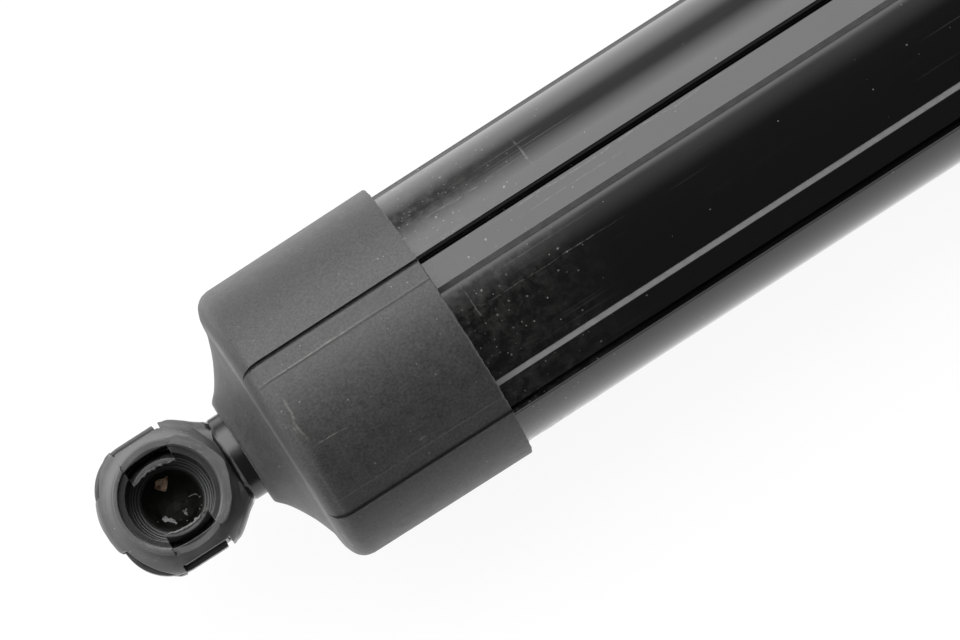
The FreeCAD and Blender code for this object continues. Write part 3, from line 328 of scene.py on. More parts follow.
# pale lumps of grease: the pale colour is partly a painted highlight of their wet shine
paleGreaseHighlightFinish = dict(greaseFinish, dark=0.12, pale=0.42, roughness=0.22, specular=0.5, mottleScale=1500)
flakeFinish = dict(greaseFinish, dark=(0.13, 0.07, 0.035), pale=(0.86, 0.62, 0.44), roughness=0.4,
                   mottleScale=1500)
sealRubberFinish = dict(bootRubberFinish, dark=0.018, pale=0.024, roughness=0.6, sheen=0.0, scuffs=[])
boardFinish = dict(hardPlasticFinish, dark=(0.010, 0.075, 0.030), pale=(0.016, 0.11, 0.045),
                   edge=(0.05, 0.2, 0.1), roughness=0.3)
gearPlasticFinish = dict(hardPlasticFinish, dark=(0.62, 0.58, 0.48), pale=(0.70, 0.66, 0.56),
                         edge=(0.8, 0.77, 0.68))
guidePlasticFinish = dict(hardPlasticFinish, dark=(0.40, 0.40, 0.38), pale=(0.48, 0.48, 0.45),
                          edge=(0.6, 0.6, 0.57))


def glossBlack(name, finish):
    # baked enamel over an extruded tube: clear gloss, broken up by rub marks and dust, with a painted
    # highlight along each crease
    material, nodes, shader = startMaterial(name)
    marks = placed(nodes, "rub", Threshold=finish["markThreshold"])["Marks"]
    nearBoot = nodes.ramp(nodes.axes()["X"], finish["dustyEnd"], finish["dustyStart"])
    share = nodes.ramp(nearBoot, 0.0, 1.0, finish["dustShare"], finish["dustyShare"])
    specks = placed(nodes, "dust", Scale=finish["dustScale"], Share=share, Size=finish["dustSize"])["Specks"]
    grain = placed(nodes, "grain", Scale=finish["peelScale"], Mottle=finish["hazeScale"])
    dusty = colour(finish["dustColour"])
    base = nodes.mix(nodes.times(marks, finish["marks"]), colour(finish["paint"]),
                     colour(finish["markColour"]))
    base = nodes.mix(nodes.times(specks, finish["dust"]), base, dusty)
    # a pale band along the low wall between land and flat, on the outer skin only: a painted highlight for
    # the bright crease line, broken up unevenly
    axes = nodes.axes()
    angle = nodes.times(nodes.math("ARCTAN2", nodes.times(axes["Y"], -1.0), axes["Z"]), 180 / math.pi)
    turned = nodes.math("FLOORED_MODULO", nodes.minus(angle, finish["roll"] - 90), 180.0)
    off = nodes.size(nodes.minus(turned, 90.0))
    start, end = finish["wall"]
    blur = finish["wallBlur"]
    wall = nodes.between(off, start - blur, start + blur, end - blur, end + blur)
    outer = nodes.math("GREATER_THAN", nodes.radius(axes["Y"], axes["Z"]), finish["skin"] * mm)
    uneven = nodes.ramp(nodes.noise(nodes.place(), 900.0, 3.0), 0.2, 0.6, 0.7, 1.0)
    paleCreaseBand = nodes.times(wall, outer, uneven)
    base = nodes.mix(paleCreaseBand, base, colour(finish["paleCreaseBand"]))
    # and smears lie near the boot
    cloudy = nodes.noise(nodes.place(), finish["smearScale"], 5.0, 0.75)
    smears = nodes.times(nearBoot, nodes.ramp(cloudy, *finish["smearRange"]))
    base = nodes.mix(nodes.times(smears, finish["smear"]), base, dusty)
    nodes.feed(shader.inputs["Base Color"], scuffed(nodes, base, finish))
    rough = nodes.ramp(grain["Mottle"], 0.3, 0.7, finish["roughness"], finish["haze"])
    rough = nodes.plus(rough, nodes.times(nodes.math("MAXIMUM", paleCreaseBand, smears), finish["dustDulls"]),
                       nodes.times(marks, finish["marksDull"]))
    nodes.feed(shader.inputs["Roughness"], rough)
    bumped(nodes, shader, grain["Height"], finish["peel"], finish["peelDepth"])
    return material


tubePaintFinish = {
    "paint": 0.0022, "markColour": 0.05, "markThreshold": 0.62, "marks": 0.35,
    "scuffs": [("X", 5.9, 0.10, 44.0, 86.0, 0.5), ("X", 4.7, 0.08, 50.0, 66.0, 0.3),
               ("X", -1.6, 0.07, 40.0, 62.0, 0.4), ("X", 10.4, 0.10, 41.0, 52.0, 0.5),
               ("Y", 55.6, 0.16, 8.2, 13.6, 0.3), ("Y", 41.0, 0.12, -3.5, 2.5, 0.4)],
    "scuff": 0.22,
    "dust": 0.4, "dustColour": (0.22, 0.22, 0.21), "dustScale": 1500, "dustShare": 0.03, "dustSize": 0.17,
    "dustyStart": 0.0385, "dustyEnd": 0.058, "dustyShare": 0.8,
    # roll, wall and skin place the pale crease band, a painted highlight
    "roll": 14.9, "wall": (23.3, 25.2), "wallBlur": 0.15, "skin": 14.5, "paleCreaseBand": 0.075,
    "smear": 0.14, "smearScale": 700.0, "smearRange": (0.42, 0.85), "dustDulls": 0.3, "marksDull": 0.15,
    "roughness": 0.10, "haze": 0.16, "hazeScale": 90, "peelScale": 260, "peel": 0.05, "peelDepth": 0.0001,
}


def metal(name, finish):
    # turned, ground or drawn metal: fine lines round or along the strut, and a little staining
    material, nodes, shader = startMaterial(name)
    lines = nodes.noise(nodes.stretched(finish["lines"]), 1.0, 2.0, 0.7)
    stain = placed(nodes, "grain", Mottle=finish["mottleScale"])["Mottle"]
    wear = placed(nodes, "wear")["Wear"]
    base = nodes.mix(nodes.ramp(stain, 0.3, 0.7), colour(finish["dark"]), colour(finish["pale"]))
    base = nodes.mix(nodes.times(wear, 0.4), base, colour(finish["edge"]))
    nodes.feed(shader.inputs["Base Color"], base)
    rough = nodes.ramp(lines, 0.3, 0.7, finish["roughness"] - 0.07, finish["roughness"] + 0.09)
    nodes.feed(shader.inputs["Roughness"], rough)
    shader.inputs["Metallic"].default_value = finish.get("metallic", 1.0)
    bumped(nodes, shader, lines, finish["bump"], 0.00002)
    return material


clipSteelFinish = {"lines": (900, 900, 60), "mottleScale": 400, "dark": 0.018, "pale": 0.030, "edge": 0.10,
                   "roughness": 0.4, "bump": 0.15, "metallic": 0.0}
steelFinish = {"lines": (4000, 40, 40), "mottleScale": 200, "dark": 0.36, "pale": 0.48, "edge": 0.6,
               "roughness": 0.3, "bump": 0.2}
springFinish = {"lines": (900, 900, 900), "mottleScale": 300, "dark": 0.10, "pale": 0.17, "edge": 0.35,
                "roughness": 0.35, "bump": 0.2}
aluminiumFinish = {"lines": (3000, 40, 40), "mottleScale": 160, "dark": 0.60, "pale": 0.72, "edge": 0.82,
                   "roughness": 0.38, "bump": 0.2}
zincFinish = {"lines": (500, 500, 500), "mottleScale": 350, "dark": 0.42, "pale": 0.56, "edge": 0.7,
              "roughness": 0.42, "bump": 0.25}
gearSteelFinish = {"lines": (60, 2500, 2500), "mottleScale": 240, "dark": 0.26, "pale": 0.36, "edge": 0.55,
                   "roughness": 0.34, "bump": 0.2}
copperFinish = {"lines": (120, 3500, 3500), "mottleScale": 260, "dark": (0.62, 0.26, 0.12),
                "pale": (0.80, 0.40, 0.22), "edge": (0.9, 0.55, 0.35), "roughness": 0.3, "bump": 0.5}
commutatorFinish = dict(copperFinish, lines=(3500, 60, 60), roughness=0.22, bump=0.2)
ferriteFinish = {"lines": (700, 700, 700), "mottleScale": 500, "dark": 0.03, "pale": 0.05, "edge": 0.10,
                 "roughness": 0.5, "bump": 0.4, "metallic": 0.0}
brushCarbonFinish = dict(ferriteFinish, dark=0.015, pale=0.03, roughness=0.35)

materials = {
    "boot_rubber": grainy("bootRubber", bootRubberFinish),
    "socket_plastic": grainy("socketPlastic", socketPlasticFinish),
    "black_plastic": grainy("hardPlastic", hardPlasticFinish),
    "tube_black": glossBlack("tubePaint", tubePaintFinish),
    "clip_steel": metal("clipSteel", clipSteelFinish),
    "guide_plastic": grainy("guidePlastic", guidePlasticFinish),
    "steel": metal("turnedSteel", steelFinish),
    "spring_steel": metal("springSteel", springFinish),
    "bearing_steel": metal("groundSteel", dict(steelFinish, roughness=0.2)),
    "aluminium": metal("turnedAluminium", aluminiumFinish),
    "zinc_steel": metal("zincSteel", zincFinish),
    "seal_rubber": grainy("sealRubber", sealRubberFinish),
    "ferrite": metal("ferrite", ferriteFinish),
    "winding_copper": metal("windingCopper", copperFinish),
    "carbon_copper": metal("commutatorCopper", commutatorFinish),
    "brush_carbon": metal("brushCarbon", brushCarbonFinish),
    "board_green": grainy("circuitBoard", boardFinish),
    "gear_plastic": grainy("gearPlastic", gearPlasticFinish),
    "gear_steel": metal("gearSteel", gearSteelFinish),
    "grease": grainy("wetGrease", greaseFinish),
    "driedGrease": grainy("driedGrease", driedGreaseFinish),
    "paleGreaseHighlight": grainy("paleGreaseHighlight", paleGreaseHighlightFinish),
    "flake": grainy("greaseFlake", flakeFinish),
}
print("materials ready")


# CAD nodes keep their meshes and get the finish of their slot

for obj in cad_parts.values():
    slotName = obj.data.materials[0].name.split(".")[0]
    obj.data.materials.clear()
    obj.data.materials.append(materials[slotName])
print("CAD nodes dressed")


# mesh helpers; lengths are in millimetres until a piece is finished

def newObject(name, points, faces):
    mesh = bpy.data.meshes.new(name)
    mesh.from_pydata(points, [], faces)
    work = bmesh.new()
    work.from_mesh(mesh)
    bmesh.ops.recalc_face_normals(work, faces=work.faces)
    work.to_mesh(mesh)
    work.free()
    obj = bpy.data.objects.new(name, mesh)
    bpy.context.scene.collection.objects.link(obj)
    return obj


def arc(across, up, radius, begin, end, count):
    # points of an arc round (across, up); angles in degrees
    points = []
    for number in range(count + 1):
        angle = math.radians(begin + (end - begin) * number / count)
        points.append((across + radius * math.cos(angle), up + radius * math.sin(angle)))
    return points


def curveThrough(points, count):
    # a smooth line through the points
    line = []
    ends = [points[0]] + points + [points[-1]]
    for before, start, stop, after in zip(ends, ends[1:], ends[2:], ends[3:]):
        for number in range(count):
            share = number / count
            line.append(tuple(
                0.5 * (2 * b + (c - a) * share + (2 * a - 5 * b + 4 * c - d) * share ** 2
                       + (3 * b - a - 3 * c + d) * share ** 3)
                for a, b, c, d in zip(before, start, stop, after)))
    return line + [points[-1]]


def softCorners(points, radius, count=5):
    # a closed outline with rounded corners, and a point close to each end of every rounding
    softened = []
    total = len(points)
    for number, corner in enumerate(points):
        here = Vector(corner)
        back = Vector(points[number - 1]) - here
        ahead = Vector(points[(number + 1) % total]) - here
        turn = math.pi - back.angle(ahead)
        if turn < 0.12:
            softened.append(tuple(here))
            continue
        cut = min(radius * math.tan(turn / 2), 0.45 * back.length, 0.45 * ahead.length)
        start = here + back.normalized() * cut
        stop = here + ahead.normalized() * cut
        for step in range(count + 1):
            share = step / count
            first = start.lerp(here, share)
            softened.append(tuple(first.lerp(here.lerp(stop, share), share)))
    return softened


def lathe(name, profile, axis="Z", steps=180):
    # a solid of revolution; the profile is (radius, height) and starts and ends on the axis
    inner = profile[1:-1]
    count = len(inner)
    points = []
    for step in range(steps):
        angle = 2 * math.pi * step / steps
        points += [(radius * math.cos(angle), radius * math.sin(angle), height) for radius, height in inner]
    foot = len(points)
    points += [(0, 0, profile[0][1]), (0, 0, profile[-1][1])]
    faces = []
    for step in range(steps):
        here = step * count
        there = (step + 1) % steps * count
        faces += [(here + row, there + row, there + row + 1, here + row + 1) for row in range(count - 1)]
        faces += [(foot, there, here), (foot + 1, here + count - 1, there + count - 1)]
    if axis == "X":
        points = [(z, x, y) for x, y, z in points]
    if axis == "Y":
        points = [(y, z, x) for x, y, z in points]
    return newObject(name, points, faces)


def rowFaces(here, there, count):
    # quads between two rings of points that start at here and there
    return [(here + number, here + (number + 1) % count, there + (number + 1) % count, there + number)
            for number in range(count)]


def band(name, rings):
    # rings of equal count joined one to the next, and the last one to the first
    count = len(rings[0])
    points = [point for ring in rings for point in ring]
    faces = []
    for row in range(len(rings)):
        faces += rowFaces(row * count, (row + 1) % len(rings) * count, count)
    return newObject(name, points, faces)


def loft(name, rings):
    # rings of equal count joined one to the next, with flat ends
    count = len(rings[0])
    points = [point for ring in rings for point in ring]
    faces = [tuple(range(count)), tuple(range(len(points) - count, len(points)))]
    for row in range(len(rings) - 1):
        faces += rowFaces(row * count, (row + 1) * count, count)
    return newObject(name, points, faces)


def turnedRing(name, profile, axis="X", steps=240):
    # a ring of revolution round X or Y on a closed profile of (radius, height)
    rings = []
    for radius, height in profile:
        ring = arc(0, 0, radius, 0, 360 * (steps - 1) / steps, steps - 1)
        rings.append([(height, y, z) if axis == "X" else (z, height, y) for y, z in ring])
    return band(name, rings)


def prism(name, outline, low, high):
    # an upright solid on a closed outline
    count = len(outline)
    points = [(x, y, low) for x, y in outline] + [(x, y, high) for x, y in outline]
    faces = [tuple(range(count)), tuple(range(count, 2 * count))]
    for number in range(count):
        after = (number + 1) % count
        faces.append((number, after, after + count, number + count))
    return newObject(name, points, faces)


def block(low, high):
    outline = [(low[0], low[1]), (high[0], low[1]), (high[0], high[1]), (low[0], high[1])]
    return prism("block", outline, low[2], high[2])


def squareRing(along, half, low, high, corner):
    # a rounded rectangle across the strut
    ring = []
    for side, up, begin in ((1, high - corner, 0), (-1, high - corner, 90), (-1, low + corner, 180),
                            (1, low + corner, 270)):
        ring += [(along, y, z) for y, z in arc(side * (half - corner), up, corner, begin, begin + 90, 6)]
    return ring


def settle(obj):
    # the modifiers go into the mesh
    graph = bpy.context.evaluated_depsgraph_get()
    finished = bpy.data.meshes.new_from_object(obj.evaluated_get(graph))
    obj.modifiers.clear()
    obj.data = finished
    return obj


def combine(base, operation, *tools):
    for tool in tools:
        change = base.modifiers.new("change", "BOOLEAN")
        change.operation = operation
        change.solver = "EXACT"
        change.object = tool
        settle(base)
        bpy.data.objects.remove(tool)
    return base


def joined(shapes):
    return combine(shapes[0], "UNION", *shapes[1:])


def evenCells(obj, voxel):
    cells = obj.modifiers.new("cells", "REMESH")
    cells.mode = "VOXEL"
    cells.voxel_size = voxel


def moulded(obj, voxel, smoothing, share):
    # a moulded skin: small even cells, eased corners, then fewer faces
    evenCells(obj, voxel)
    ease = obj.modifiers.new("ease", "SMOOTH")
    ease.factor = 0.5
    ease.iterations = smoothing
    fewer = obj.modifiers.new("fewer", "DECIMATE")
    fewer.ratio = share
    return settle(obj)


def roughened(obj, voxel, depth, grain, octaves):
    # even cells, then an uneven surface
    evenCells(obj, voxel)
    settle(obj)
    for vertex in obj.data.vertices:
        vertex.co += vertex.normal * depth * noise.fractal(vertex.co * grain, 1.0, 2.0, octaves)
    return obj


def bevelled(obj, width):
    edge = obj.modifiers.new("edge", "BEVEL")
    edge.width = width
    edge.segments = 2
    edge.limit_method = "ANGLE"
    edge.angle_limit = math.radians(30)
    return settle(obj)


def copied(obj):
    twin = obj.copy()
    twin.data = obj.data.copy()
    bpy.context.scene.collection.objects.link(twin)
    return twin


eyeDistance = (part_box("upper_ball_socket")[0].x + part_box("lower_ball_socket")[1].x) / mm


def finishPiece(obj, name, body, slotName, nodes=(), finish=None, turned=False, crease=None):
    # metres, its place, smooth shading, its finish, its body and the nodes that it stands for
    if turned:
        obj.data.transform(Matrix.Translation((eyeDistance, 0, 0)) @ Matrix.Rotation(math.pi, 4, "Z"))
    obj.data.transform(Matrix.Scale(mm, 4))
    obj.name = name
    obj.data.name = name
    obj.data.shade_smooth()
    if crease:
        obj.data.set_sharp_from_angle(angle=math.radians(crease))
    obj.data.materials.clear()
    obj.data.materials.append(materials[finish or slotName])
    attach(obj, body)
    if nodes:
        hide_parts(*nodes)


def finishBoth(upper, lower, name, slotName, node=None, finish=None, crease=None):
    # the upper piece on the cover, and its twin turned round on the drive
    for obj, end, body in ((upper, "upper", "cover"), (lower, "lower", "drive")):
        nodes = [end + "_" + node] if node else ()
        finishPiece(obj, end + name, body, slotName, nodes, finish, turned=body == "drive", crease=crease)


# ball sockets

clip = {"inside": 7.64, "thickness": 0.7, "half": 1.6, "leg": 2.77, "turn": -1.95, "corner": 5.23,
        "edge": 0.1}


def clipLine(c, grow):
    # the clip's line seen from above: round corners and a straight back between two legs
    offset = c["inside"] - c["corner"]
    radius = c["corner"] + grow
    return arc(c["turn"], offset, radius, 90, 180, 24) + arc(c["turn"], -offset, radius, 180, 270, 24)


def shapeClip(c):
    outer = c["inside"] + c["thickness"]
    plan = [(c["leg"], c["inside"]), (c["leg"] - 0.1, outer)] + clipLine(c, c["thickness"])
    plan += [(c["leg"] - 0.1, -outer), (c["leg"], -c["inside"])] + clipLine(c, 0)[::-1]
    return bevelled(prism("clip", plan, -c["half"], c["half"]), c["edge"])


socket = {
    "radius": 9.0, "face": 6.2, "bottom": -7.65, "shoulder": 3.2, "rim": 6.75, "rimPlate": 1.5,
    "backRadius": 10.3, "backOffset": 2.4, "side": 8.25,
    "keeper": [(-7.63, 4.3), (-7.9, 3.8), (-8.44, 2.8), (-8.64, 1.0), (-8.64, -0.46), (-8.5, -1.8),
               (-8.2, -2.3), (-7.8, -2.45), (-5.0, -2.6), (-5.0, 4.6)],
    "keeperSlope": [(8.75, 2.1), (8.68, 2.6), (8.5, 3.2), (8.25, 3.7), (7.95, 4.12), (7.4, 4.5),
                    (6.5, 4.85)],
    "neck": 5.48, "neckStart": 7.85, "stemEnd": 21.4,
    "flare": [(0.0, 8.15), (3.5, 8.15), (4.1, 8.12), (4.6, 7.97), (5.2, 7.58), (6.1, 6.88), (7.0, 6.12),
              (7.6, 5.7), (8.0, 5.47), (8.3, 5.2), (8.5, 4.2)],
    "flareLow": -5.6, "flareHigh": 3.9, "flareCorner": 2.5,
    "rimPlan": [(3.6, 5.9), (4.45, 5.7), (5.75, 4.7), (6.65, 3.1), (7.45, 0.9), (7.65, 0.1), (7.2, -1.6),
                (6.1, -4.0), (5.0, -5.2), (4.1, -5.8), (3.6, -5.9)],
    "armLeft": -3.05, "armRight": 3.4, "armStart": 4.6, "armTop": 4.9, "armFlat": 7.62,
    "armMouth": 5.6, "armBow": 12.9, "beyond": 13, "above": 9,      # cuts end outside the socket
    "slot": 0.25, "slotFloor": -2.4, "slotStart": 7.45,
    "mark": 0.16, "marks": [(5.8, 4.66), (6.5, 4.5), (7.1, 4.24)],      # grooves down the arms' ends
    "clipHalf": 1.64, "mouth": 6.03, "mouthFloor": 4.7, "seat": 5.05, "seatTop": 5.18,
    "ridges": [5.05, 4.98, 4.76, 4.47, 4.13, 3.84],
    "lipHalf": 2.9, "lip": 3.9, "lipBow": 6.35, "lipTop": 3.42, "lipFoot": 0.4, "lipBack": 5.72,
    "gapFoot": 1.3,
    "studHead": 4.74, "studStart": 8.56, "studHeadEnd": 10.64, "stud": 4.04,
    "voxel": 0.07, "smoothing": 2, "share": 0.3,
}


def socketBody(s):
    foot = s["face"] - 1.3 - s["shoulder"]
    turn = math.degrees(math.acos((s["rim"] - s["radius"] + s["shoulder"]) / s["shoulder"]))
    inner = s["radius"] - s["shoulder"]
    profile = [(0, s["bottom"])] + arc(inner, s["bottom"] + s["shoulder"], s["shoulder"], -90, 0, 14)
    profile += arc(inner, foot, s["shoulder"], 0, turn, 12)
    profile += [(s["rim"], s["face"] - 0.18), (s["rim"] - 0.18, s["face"]), (0, s["face"])]
    body = lathe("socketBody", profile)
    reach, side = s["backRadius"], s["side"]
    plan = [(x, y) for x, y in arc(s["backOffset"], 0, reach, 90, 270, 60) if abs(y) < side]
    plan = [(30, side), (plan[0][0] + 0.9, side), (plan[0][0] + 0.2, side - 0.12)] + plan[1:-1] + [
        (plan[-1][0] + 0.2, 0.12 - side), (plan[-1][0] + 0.9, -side), (30, -side)]
    combine(body, "INTERSECT", prism("plan", plan, s["bottom"] - 1, s["face"] + 1))
    # the flare, and the neck that leaves it towards the stem
    rings = [squareRing(along, half, s["flareLow"], s["flareHigh"], s["flareCorner"])
             for along, half in s["flare"]]
    combine(body, "UNION", loft("flare", rings))
    neck, start = s["neck"], s["neckStart"]
    stem = [(0, start), (neck - 0.6, start + 0.02), (neck - 0.2, start + 0.2), (neck, start + 0.65),
            (neck, s["stemEnd"]), (0, s["stemEnd"])]
    combine(body, "UNION", lathe("stem", stem, "X"))
    # the rim's flat face runs out to a point towards the neck
    plan = softCorners([(0, 6.1)] + s["rimPlan"] + [(0, -6.1)], 0.4)
    combine(body, "UNION", prism("rimPlate", plan, s["face"] - s["rimPlate"], s["face"] - 0.01))
    # keepers above and below the clip
    for side in (1, -1):
        keeper = prism("keeper", softCorners(s["keeper"], 0.3), -5, 5)
        foot = s["clipHalf"] + 0.05
        slope = [(0, foot), (s["keeperSlope"][0][0], foot)] + s["keeperSlope"]
        slope += [(0, s["keeperSlope"][-1][1])]
        combine(keeper, "INTERSECT", lathe("slope", [(radius, side * height) for radius, height in slope]))
        combine(body, "UNION", keeper)
    return body


def lipReach(across, s):
    return math.sqrt(s["lipBow"] ** 2 - across ** 2) - s["lipBow"] + s["lip"]


def armWall(across, s):
    # the arms' inner faces are slightly bowed
    return s["armMouth"] - across ** 2 / 2 / s["armBow"]


def cutSeat(body, s):
    # stepped rings and a bowl for the ball, with the two retaining lips left standing
    rings = s["ridges"]
    depth = [-math.sqrt(max(0.0, s["seat"] ** 2 - radius ** 2)) for radius in rings]
    stairs = []
    for number in range(len(rings) - 1):
        stairs += [(rings[number], depth[number + 1]), (rings[number + 1], depth[number + 1])]
    begin = -math.degrees(math.acos(rings[-1] / s["seat"]))
    bowl = arc(0, 0, s["seat"], -90, begin, 14)[1:-1]
    profile = [(0, -s["seat"])] + bowl + stairs[::-1]
    profile += [(s["seat"] + 0.05, 1.0), (s["seatTop"], 1.4), (s["seatTop"], s["mouthFloor"] + 0.3),
                (0, s["mouthFloor"] + 0.3)]
    seat = lathe("seat", profile)
    for side in (1, -1):
        lip = []
        for number in range(17):
            across = -s["lipHalf"] + 2 * s["lipHalf"] * number / 16
            lip.append((across, side * lipReach(across, s)))
        lip += [(s["lipHalf"], side * 8), (-s["lipHalf"], side * 8)]
        combine(seat, "DIFFERENCE", prism("lip", lip, s["lipFoot"], s["mouthFloor"] + 1))
    combine(body, "DIFFERENCE", seat)
    # the lips are hollow below, where the ball turns, and stand free of the arms behind them
    low = s["lipFoot"] + 0.01
    begin = math.degrees(math.asin(low / s["seat"]))
    ball = [(0, low)] + arc(0, 0, s["seat"], begin, 88, 48) + [(0, s["seat"])]
    combine(body, "DIFFERENCE", lathe("ball", ball))
    high = math.degrees(math.asin(s["lipTop"] / s["lipBack"]))
    back = [(0, 0)] + arc(0, 0, s["lipBack"], 0, high, 24) + [(0, s["lipTop"])]
    half, wall = s["lipHalf"] - 0.01, s["armMouth"] - 0.05
    gap = []
    for number in range(13):
        across = half * (number / 6 - 1)
        gap.append((across, wall - across ** 2 / 2 / s["armBow"]))
    gap += [(across, -up) for across, up in reversed(gap)]
    gap = combine(prism("gap", gap, s["gapFoot"], 7.4), "DIFFERENCE", lathe("back", back))
    combine(body, "DIFFERENCE", gap)
    # mouth: round, and flatter along the arms
    plan = []
    for number in range(180):
        angle = math.radians(2 * number)
        across, up = s["mouth"] * math.cos(angle), s["mouth"] * math.sin(angle)
        if abs(across) < s["lipHalf"]:
            up = math.copysign(min(abs(up), armWall(across, s)), up)
        plan.append((across, up))
    combine(body, "DIFFERENCE", prism("mouth", plan, s["mouthFloor"], s["face"] + 1.3))


def shapeSocket(s):
    body = socketBody(s)
    left, right = s["armLeft"], s["armRight"]

    def slab(side, start, low, begin, end):
        near, far = sorted((side * start, side * s["beyond"]))
        combine(body, "DIFFERENCE", block((begin, near, low), (end, far, s["above"])))

    for side in (1, -1):
        slab(side, s["armStart"], s["armTop"], left, right)
        slab(side, s["armFlat"], -s["above"], left, right)
        for edge in (left, right - s["slot"]):
            for start, low in s["marks"]:
                slab(side, start, low, edge + 0.04, edge + 0.04 + s["mark"])
            slab(side, s["slotStart"], s["slotFloor"], edge, edge + s["slot"])
    groove = [(0.01, s["armFlat"])] + clipLine(clip, s["armFlat"] - clip["inside"])
    groove += [(0.01, -s["armFlat"]), (0.01, -14), (-14, -14), (-14, 14), (0.01, 14)]
    combine(body, "DIFFERENCE", prism("groove", groove, -s["clipHalf"], s["clipHalf"]))
    cutSeat(body, s)
    stud = [(0, s["studStart"]), (s["studHead"], s["studStart"]), (s["studHead"], s["studHeadEnd"]),
            (s["stud"], s["studHeadEnd"]), (s["stud"], 30), (0, 30)]
    combine(body, "DIFFERENCE", lathe("stud", stud, "X"))
    return moulded(body, s["voxel"], s["smoothing"], s["share"])


grease = {
    "reach": 3.8, "film": 0.09, "least": 0.03, "rough": 0.06, "grain": 0.9, "sunk": 0.06,
    "fade": 0.5, "rim": 0.05,
    # lumps: across, up, width and height
    "lumps": [(-2.6, -0.6, 0.5, 0.08), (0.3, 1.9, 0.8, 0.12), (2.2, -1.8, 0.5, 0.06)],
}


def shapeGrease(g, seat):
    # a lumpy film that lies in the bowl
    rings = []
    rows, steps = 30, 120
    floor = seat + g["sunk"]
    for layer in ("top", "bottom"):
        for row in range(1, rows + 1) if layer == "top" else range(rows, 0, -1):
            radius = g["reach"] * row / rows
            ring = []
            for step in range(steps):
                angle = 2 * math.pi * step / steps
                x, y = radius * math.cos(angle), radius * math.sin(angle)
                depth = floor
                if layer == "top":
                    rise = g["film"] + g["rough"] * noise.fractal(Vector((x, y, 3)) * g["grain"], 1.0, 2.0, 3)
                    for acrossLump, upLump, wide, high in g["lumps"]:
                        spread = ((x - acrossLump) ** 2 + (y - upLump) ** 2) / wide ** 2
                        rise += high * math.exp(-spread)
                    fade = min(1.0, (g["reach"] - radius) / g["fade"])
                    depth = seat - max(rise, g["least"]) * fade + g["rim"] * (1 - fade)
                ring.append((x, y, -math.sqrt(depth ** 2 - radius ** 2)))
            rings.append(ring)
    count = len(rings[0])
    points = [point for ring in rings for point in ring]
    faces = []
    for row in range(len(rings) - 1):
        faces += rowFaces(row * count, (row + 1) * count, count)
    top, bottom = len(points), len(points) + 1
    points += [(0, 0, rings[0][0][2]), (0, 0, -floor)]
    last = (len(rings) - 1) * count
    faces += [(top, (number + 1) % count, number) for number in range(count)]
    faces += [(bottom, last + number, last + (number + 1) % count) for number in range(count)]
    return newObject("grease", points, faces)


blobs = {
    # across, up, half length, half width, turn in degrees, as they lie in the bowl
    "places": [(-1.78, -1.45, 0.50, 0.38, -30), (-1.30, -1.95, 0.48, 0.28, -45), (-1.0, -2.5, 0.16, 0.12, 0),
               (0.52, -2.0, 0.17, 0.40, 15), (0.80, -1.75, 0.12, 0.20, -30), (2.35, -0.72, 0.42, 0.08, -10),
               (2.75, -0.95, 0.06, 0.20, 30), (2.95, -1.4, 0.14, 0.08, 10), (2.6, -2.35, 0.09, 0.07, 0),
               (2.2, -2.6, 0.07, 0.10, 0), (0.2, -2.95, 0.12, 0.07, 20), (-2.75, -1.2, 0.09, 0.05, 60)],
    "thickness": 0.09, "rise": 0.17, "ragged": 0.45, "rough": 0.06, "voxel": 0.035,
}


def shapeBlobs(g, seat):
    # small lumps of grease, flat on the film and ragged at their edges; their pale colour is partly the
    # grease's own and partly a painted highlight
    lumps = []
    for across, up, length, width, turn in g["places"]:
        way = math.radians(turn)
        rings = []
        for row in range(1, 12):
            lift = math.pi * row / 12
            ring = []
            for step in range(28):
                angle = 2 * math.pi * step / 28
                spot = Vector((math.cos(angle) * 1.6 + across, math.sin(angle) * 1.6, up))
                ragged = 1 + g["ragged"] * noise.noise(spot)
                x = length * math.cos(angle) * math.sin(lift) * ragged
                y = width * math.sin(angle) * math.sin(lift) * ragged
                z = g["thickness"] * math.cos(lift)
                x, y = (across + x * math.cos(way) - y * math.sin(way),
                        up + x * math.sin(way) + y * math.cos(way))
                ring.append((x, y, z + g["rise"] - math.sqrt(seat ** 2 - x * x - y * y)))
            rings.append(ring)
        lumps.append(loft("lump", rings))
    return roughened(joined(lumps), g["voxel"], g["rough"], 4.0, 2)


lipGrease = {"radius": 0.14, "least": 0.03, "width": 1.3, "rough": 0.55, "grain": 2.2, "ends": 2.7,
             "off": 0.05, "wander": 0.12}


def shapeLipGrease(g, s):
    # ragged beads of grease pushed up along both lips
    rows, sides = 60, 12
    beads = []
    for side in (1, -1):
        rings = []
        for row in range(rows + 1):
            across = -g["ends"] + 2 * g["ends"] * row / rows
            up = side * (lipReach(across, s) + g["off"])
            height = s["lipTop"] + 0.01
            taper = math.sqrt(max(0.02, 1 - (across / g["ends"]) ** 4))
            lumpy = noise.noise(Vector((across * g["grain"], side, 0)))
            size = g["radius"] * taper * (1 + g["rough"] * 2 * lumpy)
            wander = g["wander"] * noise.noise(Vector((across * g["grain"], side * 5, 7)))
            ring = arc(0, 0, max(size, g["least"]), 0, 330, sides - 1)
            rings.append([(across, up + wander + a * g["width"], height + b) for a, b in ring])
        beads.append(loft("bead", rings))
    return joined(beads)


flake = {
    "place": (0.1, 2.25, -4.35), "tilt": 24, "thickness": 0.16, "voxel": 0.06, "rough": 0.12,
    "outline": [(-1.05, 0.1), (-0.6, 0.75), (0.0, 0.85), (0.45, 0.55), (1.1, 0.75), (0.75, 0.1),
                (0.2, -0.65), (-0.15, -0.95), (-0.7, -0.5)],
}


